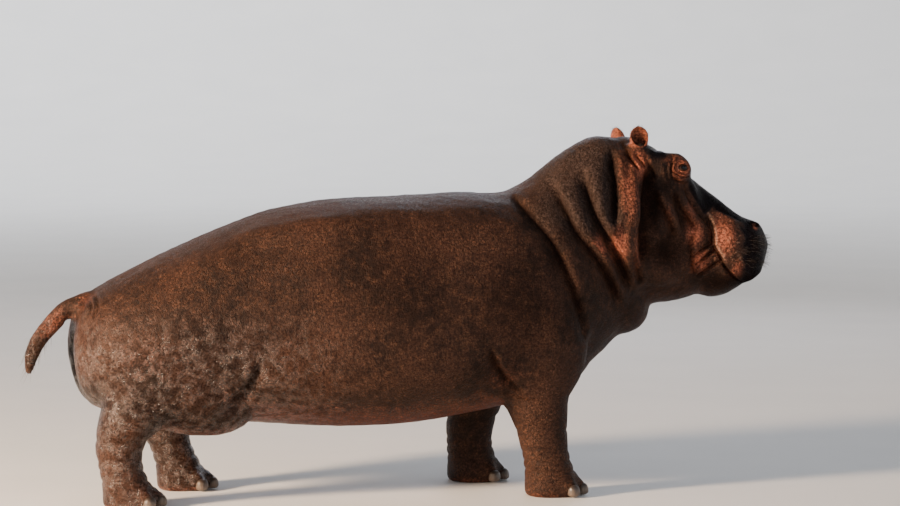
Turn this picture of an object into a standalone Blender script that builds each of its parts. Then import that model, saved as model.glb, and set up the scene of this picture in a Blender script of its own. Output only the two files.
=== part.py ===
"""A life-size hippopotamus wading with its head raised, as a museum model.

Metres. +X is forward, +Y is the animal's left, +Z is up and the floor is Z = 0.
The flesh is modelled whole, as lofts and muscle masses melted into one surface,
and is then parted by thin cuts into the parts a person would name.
"""

import math

import bmesh
import bpy
import numpy as np
from mathutils import Matrix, Vector

# ---------------------------------------------------------------- driving sizes
VOXEL = 0.012  # grain of the surface that joins the lofts
MELT_PASSES = 28  # smoothing passes that melt the joins
TAIL_LOOSE, TAIL_FIRM = -1.50, -1.60  # between these the tail stops melting
TAIL_BREADTH = 0.10  # half the breadth of what counts as the tail
TAIL_MELT = 0.08  # how much of the melting the tail keeps
FLESH_TRIANGLES = 3950  # of the whole body, before it is parted
FINE_AHEAD, FINE_BELOW = 0.95, 0.20  # the head and the feet keep finer facets,
FINE_BEHIND = -1.50  # and so does the tail
COARSENESS, FINE_SHARE = 0.3, 0.9  # how strongly, and their share of the coarsening
CUT = 0.0006  # width of the thin cuts between named parts
MIDDLE = -0.0365  # where the middle of the whole length lies, along X
SOLE_SINK = 0.006  # how much of each foot the floor plane flattens

# ------------------------------------------------------------------ trunk, neck
# Each row is one girth: the top and the bottom point in side view (x, z, x, z),
# the half width, how high the widest place lies (0 bottom, 1 top) and how
# square the girth is (2 is an ellipse).
TRUNK = [
    ("rump end", -1.560, 0.765, -1.555, 0.58, 0.10, 0.50, 2.0),
    ("buttocks", -1.525, 0.878, -1.52, 0.49, 0.25, 0.50, 2.2),
    ("tail root", -1.435, 0.958, -1.44, 0.42, 0.37, 0.46, 2.3),
    ("hips", -1.22, 1.068, -1.24, 0.385, 0.455, 0.46, 2.4),
    ("croup", -0.94, 1.189, -0.94, 0.36, 0.488, 0.45, 2.6),
    ("flank", -0.66, 1.293, -0.66, 0.335, 0.518, 0.42, 2.8),
    ("loin", -0.36, 1.345, -0.36, 0.315, 0.542, 0.40, 2.8),
    ("barrel", -0.06, 1.357, -0.06, 0.32, 0.548, 0.40, 2.7),
    ("girth", 0.22, 1.372, 0.24, 0.36, 0.525, 0.42, 2.5),
    ("withers", 0.42, 1.368, 0.52, 0.42, 0.485, 0.45, 2.25),
    ("neck root", 0.54, 1.420, 0.74, 0.51, 0.420, 0.50, 2.0),
    ("neck", 0.70, 1.541, 0.93, 0.66, 0.355, 0.50, 2.0),
    ("nape", 0.85, 1.624, 1.08, 0.84, 0.300, 0.50, 2.0),
    ("poll", 0.97, 1.618, 1.13, 0.98, 0.230, 0.50, 2.0),
]
BELLY_SQUARENESS = 2.3  # the most that the lower half of a girth has

# ------------------------------------------------------------------------- head
HEAD = [
    ("occiput", 0.95, 1.60, 0.96, 1.14, 0.16, 0.50, 2.0),
    ("ears", 1.01, 1.626, 0.99, 0.985, 0.245, 0.42, 2.1),
    ("temples", 1.10, 1.600, 1.06, 0.945, 0.262, 0.40, 2.1),
    ("brow", 1.19, 1.543, 1.15, 0.925, 0.232, 0.40, 2.2),
    ("eyes", 1.275, 1.474, 1.23, 0.915, 0.196, 0.42, 2.3),
    ("bridge", 1.365, 1.402, 1.31, 0.905, 0.172, 0.44, 2.5),
    ("waist", 1.455, 1.333, 1.38, 0.900, 0.182, 0.46, 2.8),
    ("muzzle", 1.535, 1.267, 1.455, 0.912, 0.216, 0.46, 3.0),
    ("nostrils", 1.612, 1.224, 1.530, 0.940, 0.212, 0.46, 2.8),
    ("lip front", 1.671, 1.182, 1.590, 0.972, 0.172, 0.46, 2.5),
    ("nose end", 1.697, 1.120, 1.653, 1.037, 0.105, 0.50, 2.3),
]

# A mass is (name, centre, half sizes, pitch, yaw, roll in degrees); y is the
# right side's distance from the middle, and a paired mass is made on both sides.
PAIRED_MASSES = [
    ("shoulder", (0.43, 0.315, 0.84), (0.31, 0.165, 0.46), -20, 0, 3),
    ("haunch", (-1.12, 0.240, 0.610), (0.42, 0.222, 0.27), 28, 0, 0),
    ("jowl", (1.045, 0.150, 1.160), (0.135, 0.135, 0.270), 8, 0, 0),
    ("jaw angle", (1.105, 0.125, 1.02), (0.165, 0.130, 0.115), 0, 0, 0),
    ("cheek", (1.215, 0.090, 1.13), (0.19, 0.125, 0.19), -30, 0, 0),
    ("cheekbone", (1.290, 0.120, 1.335), (0.060, 0.055, 0.19), -28, 0, 0),
    ("orbit", (1.214, 0.140, 1.474), (0.090, 0.064, 0.078), 12, -8, 0),
    ("temple", (1.125, 0.135, 1.475), (0.120, 0.085, 0.090), 14, 0, 0),
    ("flew", (1.495, 0.130, 1.100), (0.120, 0.100, 0.165), -32, 0, 0),
    ("lip lobe", (1.552, 0.115, 1.048), (0.085, 0.098, 0.115), -20, 0, 0),
    ("nostril", (1.602, 0.096, 1.192), (0.060, 0.056, 0.042), 25, 14, 0),
    ("ear root", (1.036, 0.148, 1.562), (0.060, 0.058, 0.055), 0, 0, 0),
]
MIDDLE_MASSES = [
    ("chin", (1.475, 0.0, 0.968), (0.135, 0.165, 0.086), -28, 0, 0),
    ("gullet", (1.09, 0.0, 0.97), (0.32, 0.20, 0.12), 4, 0, 0),
    ("throat", (0.92, 0.0, 0.88), (0.22, 0.24, 0.16), 30, 0, 0),
    ("brisket", (0.60, 0.0, 0.63), (0.26, 0.28, 0.21), -20, 0, 0),
]

# ------------------------------------------------------------------------- legs
# Each row is a level cut: height, forward offset and sideways offset from the
# foot's centre, half length and half breadth.
FORELEG = [
    (0.92, -0.05, -0.03, 0.17, 0.12),
    (0.72, -0.05, -0.01, 0.190, 0.145),
    (0.52, -0.04, 0.00, 0.170, 0.142),
    (0.38, -0.03, 0.00, 0.135, 0.126),
    (0.26, -0.03, 0.00, 0.112, 0.112),
    (0.16, -0.02, 0.00, 0.108, 0.110),
    (0.08, 0.00, 0.00, 0.122, 0.122),
    (0.02, 0.00, 0.00, 0.126, 0.128),
    (-0.006, 0.00, 0.00, 0.120, 0.122),
]
HINDLEG = [
    (0.86, 0.22, -0.05, 0.26, 0.14),
    (0.68, 0.16, -0.02, 0.28, 0.17),
    (0.50, 0.08, 0.00, 0.225, 0.160),
    (0.38, 0.00, 0.01, 0.160, 0.130),
    (0.28, -0.05, 0.00, 0.112, 0.108),
    (0.18, -0.04, 0.00, 0.100, 0.102),
    (0.09, -0.01, 0.00, 0.112, 0.114),
    (0.02, 0.00, 0.00, 0.120, 0.122),
    (-0.006, 0.00, 0.00, 0.115, 0.116),
]
# Where each foot stands: name, rows, x, y (+ is left), and how far the leg's top
# stays behind or ahead of the foot.
LEGS = [
    ("foreleg_right", FORELEG, 0.60, -0.285, -0.10),
    ("foreleg_left", FORELEG, 0.36, 0.285, 0.12),
    ("hindleg_right", HINDLEG, -1.33, -0.275, 0.06),
    ("hindleg_left", HINDLEG, -1.02, 0.275, -0.22),
]
LEAN_FROM, LEAN_TO = 0.12, 0.80  # heights between which a leg leans to its foot

# ------------------------------------------------------------------------- toes
TOE_ANGLES = (-66, -23, 23, 66)  # four toes, splayed about the foot's front
TOE_FORWARD = 0.01  # the middle of the toes' arc, ahead of the foot's centre
TOE_REACH, TOE_SPREAD = 0.097, 0.105
TOE_TURN = 0.7  # how far a toe points its own way, as a share of its place on the arc
TOE_SIZE = (0.056, 0.038, 0.048)
NAIL_SIZE = (0.026, 0.031, 0.028)
NAIL_REACH, NAIL_HEIGHT = 0.036, 0.032

# ------------------------------------------------------------------------- tail
# Centre (x, z) and half height, half breadth of each round of the tail.
TAIL = [
    (-1.360, 0.885, 0.075, 0.080),
    (-1.470, 0.883, 0.066, 0.070),
    (-1.540, 0.872, 0.050, 0.052),
    (-1.595, 0.847, 0.042, 0.041),
    (-1.648, 0.794, 0.040, 0.034),
    (-1.700, 0.732, 0.038, 0.028),
    (-1.732, 0.668, 0.034, 0.022),
    (-1.746, 0.610, 0.025, 0.015),
    (-1.750, 0.574, 0.012, 0.007),
]

# ------------------------------------------------------------------ eyes, ears
EYE_CENTRE, EYE_RADIUS = (1.240, 0.178, 1.481), 0.0255
EAR_ROOT = (1.040, 0.162, 1.566)
# The way each ear's axis points, y outwards, and how far outwards from straight
# ahead its cup opens, in degrees; -1 is the right ear, and the left is let down.
EAR_LEANS = {-1: (-0.06, 0.26, 1.0), 1: (-0.12, 0.95, 1.0)}
EAR_TURNS = {-1: 88, 1: 15}
EAR_BACK, EAR_LIP = 0.114, 0.034  # heights of the rim behind and before the cup
EAR_WALL, EAR_FLOOR = 0.009, 0.3  # the wall, and how far up the cup begins
# Share of the ear's height, half width and half depth of its outside.
EAR_GIRTHS = [
    (0.00, 0.037, 0.035),
    (0.20, 0.041, 0.034),
    (0.45, 0.044, 0.031),
    (0.66, 0.043, 0.028),
    (0.82, 0.037, 0.023),
    (0.93, 0.029, 0.017),
    (1.00, 0.018, 0.011),
]
EAR_ROUNDS = (0.0, 0.3, 0.6, 0.85, 1.0)  # where the ear's rounds lie, as shares of the rim's height
EAR_ROOM_TOP = 1.15  # how far the room for it in the head reaches past the rim

# ------------------------------------------------------------------------- cuts
# A cut across the body is a plane: a point of it (x, z) and how far it leans
# back at the top, in degrees.
TAIL_FACE, TAIL_LEAN = (-1.565, 0.75), 0.0
HEAD_FACE, HEAD_LEAN = (0.955, 1.275), 6.0
NECK_FACE, NECK_LEAN = (0.68, 1.00), 33.0
# The jaw is what the head holds below the line of the mouth, which rises
# backwards from the lips.
MOUTH_FACE, MOUTH_RISE = (1.64, 0.950), 25.0
# A leg is what lies below a slope that rises from the belly to the flank, within
# a length about the middle of the leg; each middle lies this far ahead of its foot.
LEG_MIDDLES = (-0.05, 0.015, 0.07, -0.055)
LEG_HALF_LENGTH, LEG_INSIDE, LEG_OUTSIDE = 0.26, 0.02, 0.75
LEG_TOP_INSIDE, LEG_TOP_OUTSIDE = 0.24, 0.60
UNDER_FEET = -0.1  # how deep the blocks that part the legs reach


def clear_scene():
    for old in list(bpy.data.objects):
        bpy.data.objects.remove(old)


def paint(name, rgb, roughness):
    material = bpy.data.materials.new(name)
    material.use_nodes = True
    shader = material.node_tree.nodes["Principled BSDF"]
    shader.inputs["Base Color"].default_value = (*rgb, 1.0)
    shader.inputs["Roughness"].default_value = roughness
    shader.inputs["Metallic"].default_value = 0.0
    return material


def object_of(name, mesh, material=None):
    made = bpy.data.objects.new(name, mesh)
    bpy.context.scene.collection.objects.link(made)
    if material is not None:
        made.data.materials.clear()
        made.data.materials.append(material)
    return made


def smooth_rows(rows, steps):
    """Catmull-Rom rows between the given ones, so a few stations give a fair curve."""
    rows = np.array(rows, float)
    padded = np.vstack([2 * rows[0] - rows[1], rows, 2 * rows[-1] - rows[-2]])
    made = []
    for a, b, c, d in zip(padded, padded[1:], padded[2:], padded[3:]):
        for t in np.arange(steps) / steps:
            made.append(
                0.5 * (2 * b + (c - a) * t + (2 * a - 5 * b + 4 * c - d) * t**2
                       + (3 * b - a - 3 * c + d) * t**3)
            )
    return np.array(made + [rows[-1]])


def skinned(rings):
    """A closed bmesh over rings of equal length."""
    bm = bmesh.new()
    loops = [[bm.verts.new(p) for p in ring] for ring in rings]
    count = len(loops[0])
    for low, high in zip(loops, loops[1:]):
        for i in range(count):
            j = (i + 1) % count
            bm.faces.new((low[i], low[j], high[j], high[i]))
    bm.faces.new(list(reversed(loops[0])))
    bm.faces.new(loops[-1])
    bmesh.ops.recalc_face_normals(bm, faces=bm.faces)
    return bm


def signed_power(value, power):
    return math.copysign(abs(value) ** power, value)


def girth_loft(rows, steps=6, corners=40):
    """A loft through girths that each stand in a plane across the side view."""
    rings = []
    for xt, zt, xb, zb, half, high, square in smooth_rows([r[1:] for r in rows], steps):
        top, bottom = Vector((xt, 0, zt)), Vector((xb, 0, zb))
        middle, rise = bottom.lerp(top, high), (top - bottom).normalized()
        up, down = (top - middle).length, (middle - bottom).length
        ring = []
        for i in range(corners):
            turn = 2 * math.pi * i / corners
            power = 2 / (square if turn < math.pi else min(square, BELLY_SQUARENESS))
            across = half * signed_power(math.cos(turn), power)
            along = signed_power(math.sin(turn), power)
            ring.append(middle + rise * along * (up if along > 0 else down)
                        + Vector((0, across, 0)))
        rings.append(ring)
    return skinned(rings)


def level_loft(rows, steps=5, corners=32):
    """A loft through level ovals: (height, x, y, half length, half breadth)."""
    rings = []
    for z, x, y, length, breadth in smooth_rows(rows, steps):
        turns = [2 * math.pi * i / corners for i in range(corners)]
        rings.append([Vector((x + length * signed_power(math.cos(t), 0.88),
                              y + breadth * signed_power(math.sin(t), 0.88), z))
                      for t in turns])
    return skinned(rings)


def tail_loft(rows, steps=4, corners=20):
    rows = smooth_rows(rows, steps)
    rings = []
    for before, row, after in zip(np.vstack([rows[:1], rows]), rows,
                                  np.vstack([rows[1:], rows[-1:]])):
        run = Vector((after[0] - before[0], 0, after[1] - before[1])).normalized()
        rise = Vector((-run.z, 0, run.x))
        rings.append([Vector((row[0], 0, row[1]))
                      + rise * row[2] * math.sin(2 * math.pi * i / corners)
                      + Vector((0, row[3] * math.cos(2 * math.pi * i / corners), 0))
                      for i in range(corners)])
    return skinned(rings)


def oval(centre, half, pitch=0, yaw=0, roll=0, segments=28, rings=16):
    """An ellipsoid, turned by angles in degrees."""
    turn = (Matrix.Rotation(math.radians(yaw), 4, "Z")
            @ Matrix.Rotation(math.radians(pitch), 4, "Y")
            @ Matrix.Rotation(math.radians(roll), 4, "X"))
    place = Matrix.Translation(centre) @ turn @ Matrix.Diagonal((*half, 1))
    bm = bmesh.new()
    bmesh.ops.create_uvsphere(bm, u_segments=segments, v_segments=rings, radius=1, matrix=place)
    return bm


def both_sides(centre):
    x, y, z = centre
    return ((x, -y, z), -1), ((x, y, z), 1)


def leg_rows(rows, x, y, lean):
    """The rows of one leg, leaning so that its top stays under the body."""
    side = math.copysign(1, y)
    made = []
    for z, forward, outward, length, breadth in rows:
        share = min(max((z - LEAN_FROM) / (LEAN_TO - LEAN_FROM), 0), 1)
        share = share * share * (3 - 2 * share)
        made.append((z, x + forward + lean * share, y + side * outward, length, breadth))
    return made


def toe_places(x, y):
    """Where each toe's middle lies: its x, y and the way it points, in degrees."""
    for angle in TOE_ANGLES:
        turn = math.radians(angle)
        yield (x + TOE_FORWARD + TOE_REACH * math.cos(turn),
               y + TOE_SPREAD * math.sin(turn), angle * TOE_TURN)


def flesh_pieces():
    """Every overlapping closed shape that the flesh is made of."""
    yield girth_loft(TRUNK)
    yield girth_loft(HEAD)
    yield tail_loft(TAIL)
    for _, centre, half, pitch, yaw, roll in PAIRED_MASSES:
        for place, side in both_sides(centre):
            yield oval(place, half, pitch, side * yaw, side * roll)
    for _, centre, half, pitch, yaw, roll in MIDDLE_MASSES:
        yield oval(centre, half, pitch, yaw, roll)
    for _, rows, x, y, lean in LEGS:
        yield level_loft(leg_rows(rows, x, y, lean))
        for toe_x, toe_y, angle in toe_places(x, y):
            yield oval((toe_x, toe_y, TOE_SIZE[2] - SOLE_SINK), TOE_SIZE, 0, angle, 0)


def baked(obj):
    """The object's mesh with its modifiers applied."""
    graph = bpy.context.evaluated_depsgraph_get()
    return bpy.data.meshes.new_from_object(obj.evaluated_get(graph))


def melted_flesh():
    joined = bmesh.new()
    for piece in flesh_pieces():
        held = bpy.data.meshes.new("piece")
        piece.to_mesh(held)
        piece.free()
        joined.from_mesh(held)
        bpy.data.meshes.remove(held)
    mesh = bpy.data.meshes.new("flesh")
    joined.to_mesh(mesh)
    joined.free()
    flesh = object_of("flesh", mesh)
    grain = flesh.modifiers.new("grain", "REMESH")
    grain.mode = "VOXEL"
    grain.voxel_size = VOXEL
    flesh.data = baked(flesh)
    flesh.modifiers.clear()
    loose = flesh.vertex_groups.new(name="loose")
    for vertex in flesh.data.vertices:
        share = (vertex.co.x - TAIL_FIRM) / (TAIL_LOOSE - TAIL_FIRM)
        if abs(vertex.co.y) > TAIL_BREADTH:
            share = 1
        loose.add([vertex.index], min(max(share, TAIL_MELT), 1), "REPLACE")
    melt = flesh.modifiers.new("melt", "SMOOTH")
    melt.vertex_group = loose.name
    melt.factor = 0.5
    melt.iterations = MELT_PASSES
    flesh.data = baked(flesh)
    flesh.modifiers.clear()
    flesh.vertex_groups.clear()
    return flesh


def thinned(flesh, triangles):
    """Fewer facets, above all on the plain sides of the body."""
    plain = flesh.vertex_groups.new(name="plain")
    for vertex in flesh.data.vertices:
        x, _, z = vertex.co
        fine = x > FINE_AHEAD or x < FINE_BEHIND or z < FINE_BELOW
        plain.add([vertex.index], FINE_SHARE if fine else 1.0, "REPLACE")
    thin = flesh.modifiers.new("thin", "DECIMATE")
    thin.vertex_group = plain.name
    thin.vertex_group_factor = COARSENESS
    thin.ratio = triangles / sum(len(face.vertices) - 2 for face in flesh.data.polygons)
    flesh.data = baked(flesh)
    flesh.modifiers.clear()
    flesh.vertex_groups.clear()


def half_left(obj, point, ahead):
    """Keeps what lies behind a plane and closes the cut face."""
    bm = bmesh.new()
    bm.from_mesh(obj.data)
    everything = bm.verts[:] + bm.edges[:] + bm.faces[:]
    cut = bmesh.ops.bisect_plane(bm, geom=everything, plane_co=point, plane_no=ahead,
                                 clear_outer=True)
    rim = [item for item in cut["geom_cut"] if isinstance(item, bmesh.types.BMEdge)]
    bmesh.ops.holes_fill(bm, edges=rim)
    bmesh.ops.recalc_face_normals(bm, faces=bm.faces)
    bm.to_mesh(obj.data)
    bm.free()


def part_ahead(whole, name, point, ahead):
    """Takes what lies ahead of a plane off the whole, with a thin cut between."""
    part = object_of(name, whole.data.copy())
    half_left(part, point, -ahead)
    half_left(whole, point - ahead * CUT, ahead)
    return part


def leaning_face(face, lean):
    """A point of a cut across the body and the way ahead of it."""
    lean = math.radians(lean)
    return Vector((face[0], 0, face[1])), Vector((math.cos(lean), 0, math.sin(lean)))


def shown_as_cutter(obj):
    obj.hide_render = True
    obj.display_type = "WIRE"
    bpy.context.view_layer.update()


def boolean(obj, cutter, operation):
    """Applies one exact Boolean and removes its cutter."""
    shown_as_cutter(cutter)
    step = obj.modifiers.new(operation, "BOOLEAN")
    step.operation = operation
    step.object = cutter
    step.solver = "EXACT"
    obj.data = baked(obj)
    obj.modifiers.clear()
    bpy.data.objects.remove(cutter)


def leg_cutter(x, side, grown):
    """A block under the slope that parts one leg."""
    corners = []
    for along in (-1, 1):
        for out, top in ((LEG_INSIDE - grown, LEG_TOP_INSIDE), (LEG_OUTSIDE, LEG_TOP_OUTSIDE)):
            for z in (UNDER_FEET, top + grown):
                corners.append((x + along * (LEG_HALF_LENGTH + grown), side * out, z))
    bm = bmesh.new()
    bmesh.ops.convex_hull(bm, input=[bm.verts.new(corner) for corner in corners])
    mesh = bpy.data.meshes.new("leg_cutter")
    bm.to_mesh(mesh)
    bm.free()
    return object_of("leg_cutter", mesh)


def part_leg(whole, name, x, side):
    leg = object_of(name, whole.data.copy())
    boolean(leg, leg_cutter(x, side, 0), "INTERSECT")
    boolean(whole, leg_cutter(x, side, CUT), "DIFFERENCE")
    return leg


def ear_ring(side, share, wall, corners=10):
    """One round of an ear, at a share of the rim's height and inside a wall."""
    heights, widths, depths = zip(*EAR_GIRTHS)
    ring = []
    for i in range(corners):
        turn = 2 * math.pi * i / corners
        opening = (1 + math.cos(turn)) / 2  # 1 on the open side, 0 behind
        high = share * (EAR_BACK + (EAR_LIP - EAR_BACK) * opening**1.15)
        wide = np.interp(high / EAR_BACK, heights, widths) - wall
        deep = np.interp(high / EAR_BACK, heights, depths) - wall
        ring.append(Vector((deep * math.cos(turn), side * wide * math.sin(turn), high)))
    return ring


def ear_shells(side):
    """The cupped ear, and the room it needs in the head."""
    outside = [ear_ring(side, share, 0) for share in EAR_ROUNDS]
    inside = [ear_ring(side, max(share, EAR_FLOOR), EAR_WALL)
              for share in reversed(EAR_ROUNDS) if share >= EAR_FLOOR]
    room = [ear_ring(side, share, -2 * CUT) for share in (*EAR_ROUNDS, EAR_ROOM_TOP)]
    return skinned(outside + inside), skinned(room)


def let_in_ear(head, name, side, material):
    """An ear with its origin at its root, let into the head."""
    lean = EAR_LEANS[side]
    axis = Vector((lean[0], side * lean[1], lean[2])).normalized()
    turn = math.radians(side * EAR_TURNS[side])
    ahead = Vector((math.cos(turn), math.sin(turn), 0))
    ahead = (ahead - axis * ahead.dot(axis)).normalized()
    facing = Matrix((ahead, axis.cross(ahead), axis)).transposed().to_4x4()
    root = Vector((EAR_ROOT[0], side * EAR_ROOT[1], EAR_ROOT[2]))
    made = []
    for shell, raised, used in zip(ear_shells(side), (CUT, 0), (name, "ear_room")):
        bmesh.ops.recalc_face_normals(shell, faces=shell.faces)
        mesh = bpy.data.meshes.new(used)
        shell.to_mesh(mesh)
        shell.free()
        cup = object_of(used, mesh, material)
        cup.matrix_world = Matrix.Translation(root + axis * raised) @ facing
        made.append(cup)
    boolean(head, made[1], "DIFFERENCE")
    return made[0]


def ball(name, place, half, angle, material, segments, rings):
    """An ellipsoid with its origin at its middle, turned about Z by an angle in degrees."""
    mesh = bpy.data.meshes.new(name)
    bm = oval((0, 0, 0), half, segments=segments, rings=rings)
    bm.to_mesh(mesh)
    bm.free()
    made = object_of(name, mesh, material)
    made.location = place
    made.rotation_euler.z = math.radians(angle)
    mesh.shade_smooth()
    return made


def let_in(host, name, place, half, angle, material, segments=8, rings=6):
    """An ellipsoid let into its host with a thin gap all round."""
    made = ball(name, place, half, angle, material, segments, rings)
    room = ball("room", place, [size + CUT for size in half], angle, None, segments, rings)
    boolean(host, room, "DIFFERENCE")
    return made


def gather(parts):
    """Parents every part to one empty that brings the body's middle to the origin."""
    hub = bpy.data.objects.new("hippopotamus", None)
    bpy.context.scene.collection.objects.link(hub)
    for part in parts:
        part.parent = hub
    hub.location.x = -MIDDLE


def main():
    clear_scene()
    skin = paint("skin", (0.085, 0.045, 0.030), 0.5)
    pink = paint("ear_skin", (0.300, 0.115, 0.070), 0.55)
    horn = paint("nail_horn", (0.120, 0.085, 0.065), 0.45)
    wet = paint("eye_surface", (0.020, 0.011, 0.007), 0.08)

    flesh = melted_flesh()
    thinned(flesh, FLESH_TRIANGLES)
    half_left(flesh, Vector((0, 0, 0)), Vector((0, 0, -1)))
    parts = {"neck": part_ahead(flesh, "neck", *leaning_face(NECK_FACE, NECK_LEAN))}
    parts["head"] = part_ahead(parts["neck"], "head", *leaning_face(HEAD_FACE, HEAD_LEAN))
    lips = Vector((MOUTH_FACE[0], 0, MOUTH_FACE[1]))
    rise = math.radians(MOUTH_RISE)
    down = Vector((-math.sin(rise), 0, -math.cos(rise)))
    parts["jaw"] = part_ahead(parts["head"], "jaw", lips, down)
    point, ahead = leaning_face(TAIL_FACE, TAIL_LEAN)
    parts["tail"] = part_ahead(flesh, "tail", point, -ahead)
    for (name, _, x, y, _), middle in zip(LEGS, LEG_MIDDLES):
        parts[name] = part_leg(flesh, name, x + middle, math.copysign(1, y))
    flesh.name = "trunk"
    parts["trunk"] = flesh
    for part in parts.values():
        part.data.materials.clear()
        part.data.materials.append(skin)

    made = list(parts.values())
    for side, word in ((-1, "right"), (1, "left")):
        made.append(let_in_ear(parts["head"], "ear_" + word, side, pink))
        place = (EYE_CENTRE[0], side * EYE_CENTRE[1], EYE_CENTRE[2])
        made.append(let_in(parts["head"], "eye_" + word, place, (EYE_RADIUS,) * 3, 0, wet, 12, 7))
    for name, _, x, y, _ in LEGS:
        for number, (toe_x, toe_y, angle) in enumerate(toe_places(x, y), 1):
            turn = math.radians(angle)
            place = (toe_x + NAIL_REACH * math.cos(turn), toe_y + NAIL_REACH * math.sin(turn),
                     NAIL_HEIGHT)
            nail = "nail_" + name + "_" + str(number)
            made.append(let_in(parts[name], nail, place, NAIL_SIZE, angle, horn))
    gather(made)


main()
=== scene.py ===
import math

import bmesh
import bpy
import numpy as np
from mathutils import Matrix, Vector


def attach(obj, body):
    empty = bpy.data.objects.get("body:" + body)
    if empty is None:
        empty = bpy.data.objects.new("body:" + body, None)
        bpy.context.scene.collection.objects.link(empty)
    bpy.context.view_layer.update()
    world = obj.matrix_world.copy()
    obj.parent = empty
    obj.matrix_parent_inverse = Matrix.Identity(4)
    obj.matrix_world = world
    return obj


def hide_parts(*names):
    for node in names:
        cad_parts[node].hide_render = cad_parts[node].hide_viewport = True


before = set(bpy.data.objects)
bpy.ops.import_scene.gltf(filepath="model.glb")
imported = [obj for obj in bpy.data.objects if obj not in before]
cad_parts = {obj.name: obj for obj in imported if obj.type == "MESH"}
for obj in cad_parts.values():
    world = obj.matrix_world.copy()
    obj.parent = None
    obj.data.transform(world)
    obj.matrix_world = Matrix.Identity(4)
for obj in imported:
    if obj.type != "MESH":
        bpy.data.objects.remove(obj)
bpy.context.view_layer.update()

# Metres. +X is forward, +Y is the animal's left, the floor is z = 0. The tables are
# written about the body's own middle, and every finished mesh moves ahead by this much.
bodyMiddle = -0.0365
toFrame = Matrix.Translation((-bodyMiddle, 0, 0))
sideNames = {-1: "right", 1: "left"}


def linear(code):
    # sRGB hex to linear RGBA
    shares = [int(code[i:i + 2], 16) / 255 for i in (0, 2, 4)]
    return (*[c / 12.92 if c <= 0.04045 else ((c + 0.055) / 1.055) ** 2.4 for c in shares], 1.0)


def smoothStep(low, high, value):
    share = np.clip((value - low) / (high - low), 0, 1)
    return share * share * (3 - 2 * share)


def between(values, ends):
    return (values > ends[0]) & (values < ends[1])


def bell(value, middle, width, power=2):
    return np.exp(-np.abs((value - middle) / width) ** power)


def signedPower(value, power):
    return math.copysign(abs(value) ** power, value)


def objectOf(name, mesh):
    made = bpy.data.objects.new(name, mesh)
    bpy.context.scene.collection.objects.link(made)
    return made


def meshOf(bm, name):
    mesh = bpy.data.meshes.new(name)
    bm.to_mesh(mesh)
    bm.free()
    return mesh


def vectorsOf(items, key):
    flat = np.zeros(len(items) * 3)
    items.foreach_get(key, flat)
    return flat.reshape(-1, 3)


def pointsOf(mesh):
    return vectorsOf(mesh.vertices, "co")


def normalsOf(mesh):
    return vectorsOf(mesh.vertex_normals, "vector")


def placePoints(mesh, points):
    mesh.vertices.foreach_set("co", points.ravel())
    mesh.update()


def storeValues(mesh, name, values, kind="FLOAT", key="value"):
    mesh.attributes.new(name, kind, "POINT").data.foreach_set(key, values.ravel())


def triangleCount(mesh):
    return sum(len(face.vertices) - 2 for face in mesh.polygons)


def keepResult(obj):
    # the modifiers' result becomes the object's own mesh
    graph = bpy.context.evaluated_depsgraph_get()
    obj.data = bpy.data.meshes.new_from_object(obj.evaluated_get(graph))
    obj.modifiers.clear()


def reshape(obj, kind, **settings):
    step = obj.modifiers.new("step", kind)
    for name, value in settings.items():
        setattr(step, name, value)
    keepResult(obj)


def joinShapes(shapes, name):
    joined = bmesh.new()
    for shape in shapes:
        held = meshOf(shape, "shape")
        joined.from_mesh(held)
        bpy.data.meshes.remove(held)
    return meshOf(joined, name)


def smoothRows(rows, steps):
    # Catmull-Rom rows between the given ones
    rows = np.array(rows, float)
    padded = np.vstack([2 * rows[0] - rows[1], rows, 2 * rows[-1] - rows[-2]])
    made = []
    for a, b, c, d in zip(padded, padded[1:], padded[2:], padded[3:]):
        for t in np.arange(steps) / steps:
            made.append(0.5 * (2 * b + (c - a) * t + (2 * a - 5 * b + 4 * c - d) * t ** 2
                               + (3 * b - a - 3 * c + d) * t ** 3))
    return np.array(made + [rows[-1]])


def skinned(rings):
    # a closed bmesh over rings of equal length
    bm = bmesh.new()
    loops = [[bm.verts.new(p) for p in ring] for ring in rings]
    count = len(loops[0])
    for low, high in zip(loops, loops[1:]):
        for i in range(count):
            j = (i + 1) % count
            bm.faces.new((low[i], low[j], high[j], high[i]))
    bm.faces.new(list(reversed(loops[0])))
    bm.faces.new(loops[-1])
    bmesh.ops.recalc_face_normals(bm, faces=bm.faces)
    return bm


# The body's form: lofts and muscle masses, the same as the frame's solids.
# Side view top (x, z) and bottom (x, z), half width, height of the widest place, squareness
trunkRows = [
    (-1.560, 0.765, -1.555, 0.58, 0.10, 0.50, 2.0),  # rump end
    (-1.525, 0.878, -1.52, 0.49, 0.25, 0.50, 2.2),   # buttocks
    (-1.435, 0.958, -1.44, 0.42, 0.37, 0.46, 2.3),   # tail root
    (-1.22, 1.068, -1.24, 0.385, 0.455, 0.46, 2.4),  # hips
    (-0.94, 1.189, -0.94, 0.36, 0.488, 0.45, 2.6),   # croup
    (-0.66, 1.293, -0.66, 0.335, 0.518, 0.42, 2.8),  # flank
    (-0.36, 1.345, -0.36, 0.315, 0.542, 0.40, 2.8),  # loin
    (-0.06, 1.357, -0.06, 0.32, 0.548, 0.40, 2.7),   # barrel
    (0.22, 1.372, 0.24, 0.36, 0.525, 0.42, 2.5),     # girth
    (0.42, 1.368, 0.52, 0.42, 0.485, 0.45, 2.25),    # withers
    (0.54, 1.420, 0.74, 0.51, 0.420, 0.50, 2.0),     # neck root
    (0.70, 1.541, 0.93, 0.66, 0.355, 0.50, 2.0),     # neck
    (0.85, 1.624, 1.08, 0.84, 0.300, 0.50, 2.0),     # nape
    (0.97, 1.618, 1.13, 0.98, 0.230, 0.50, 2.0),     # poll
]
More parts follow.
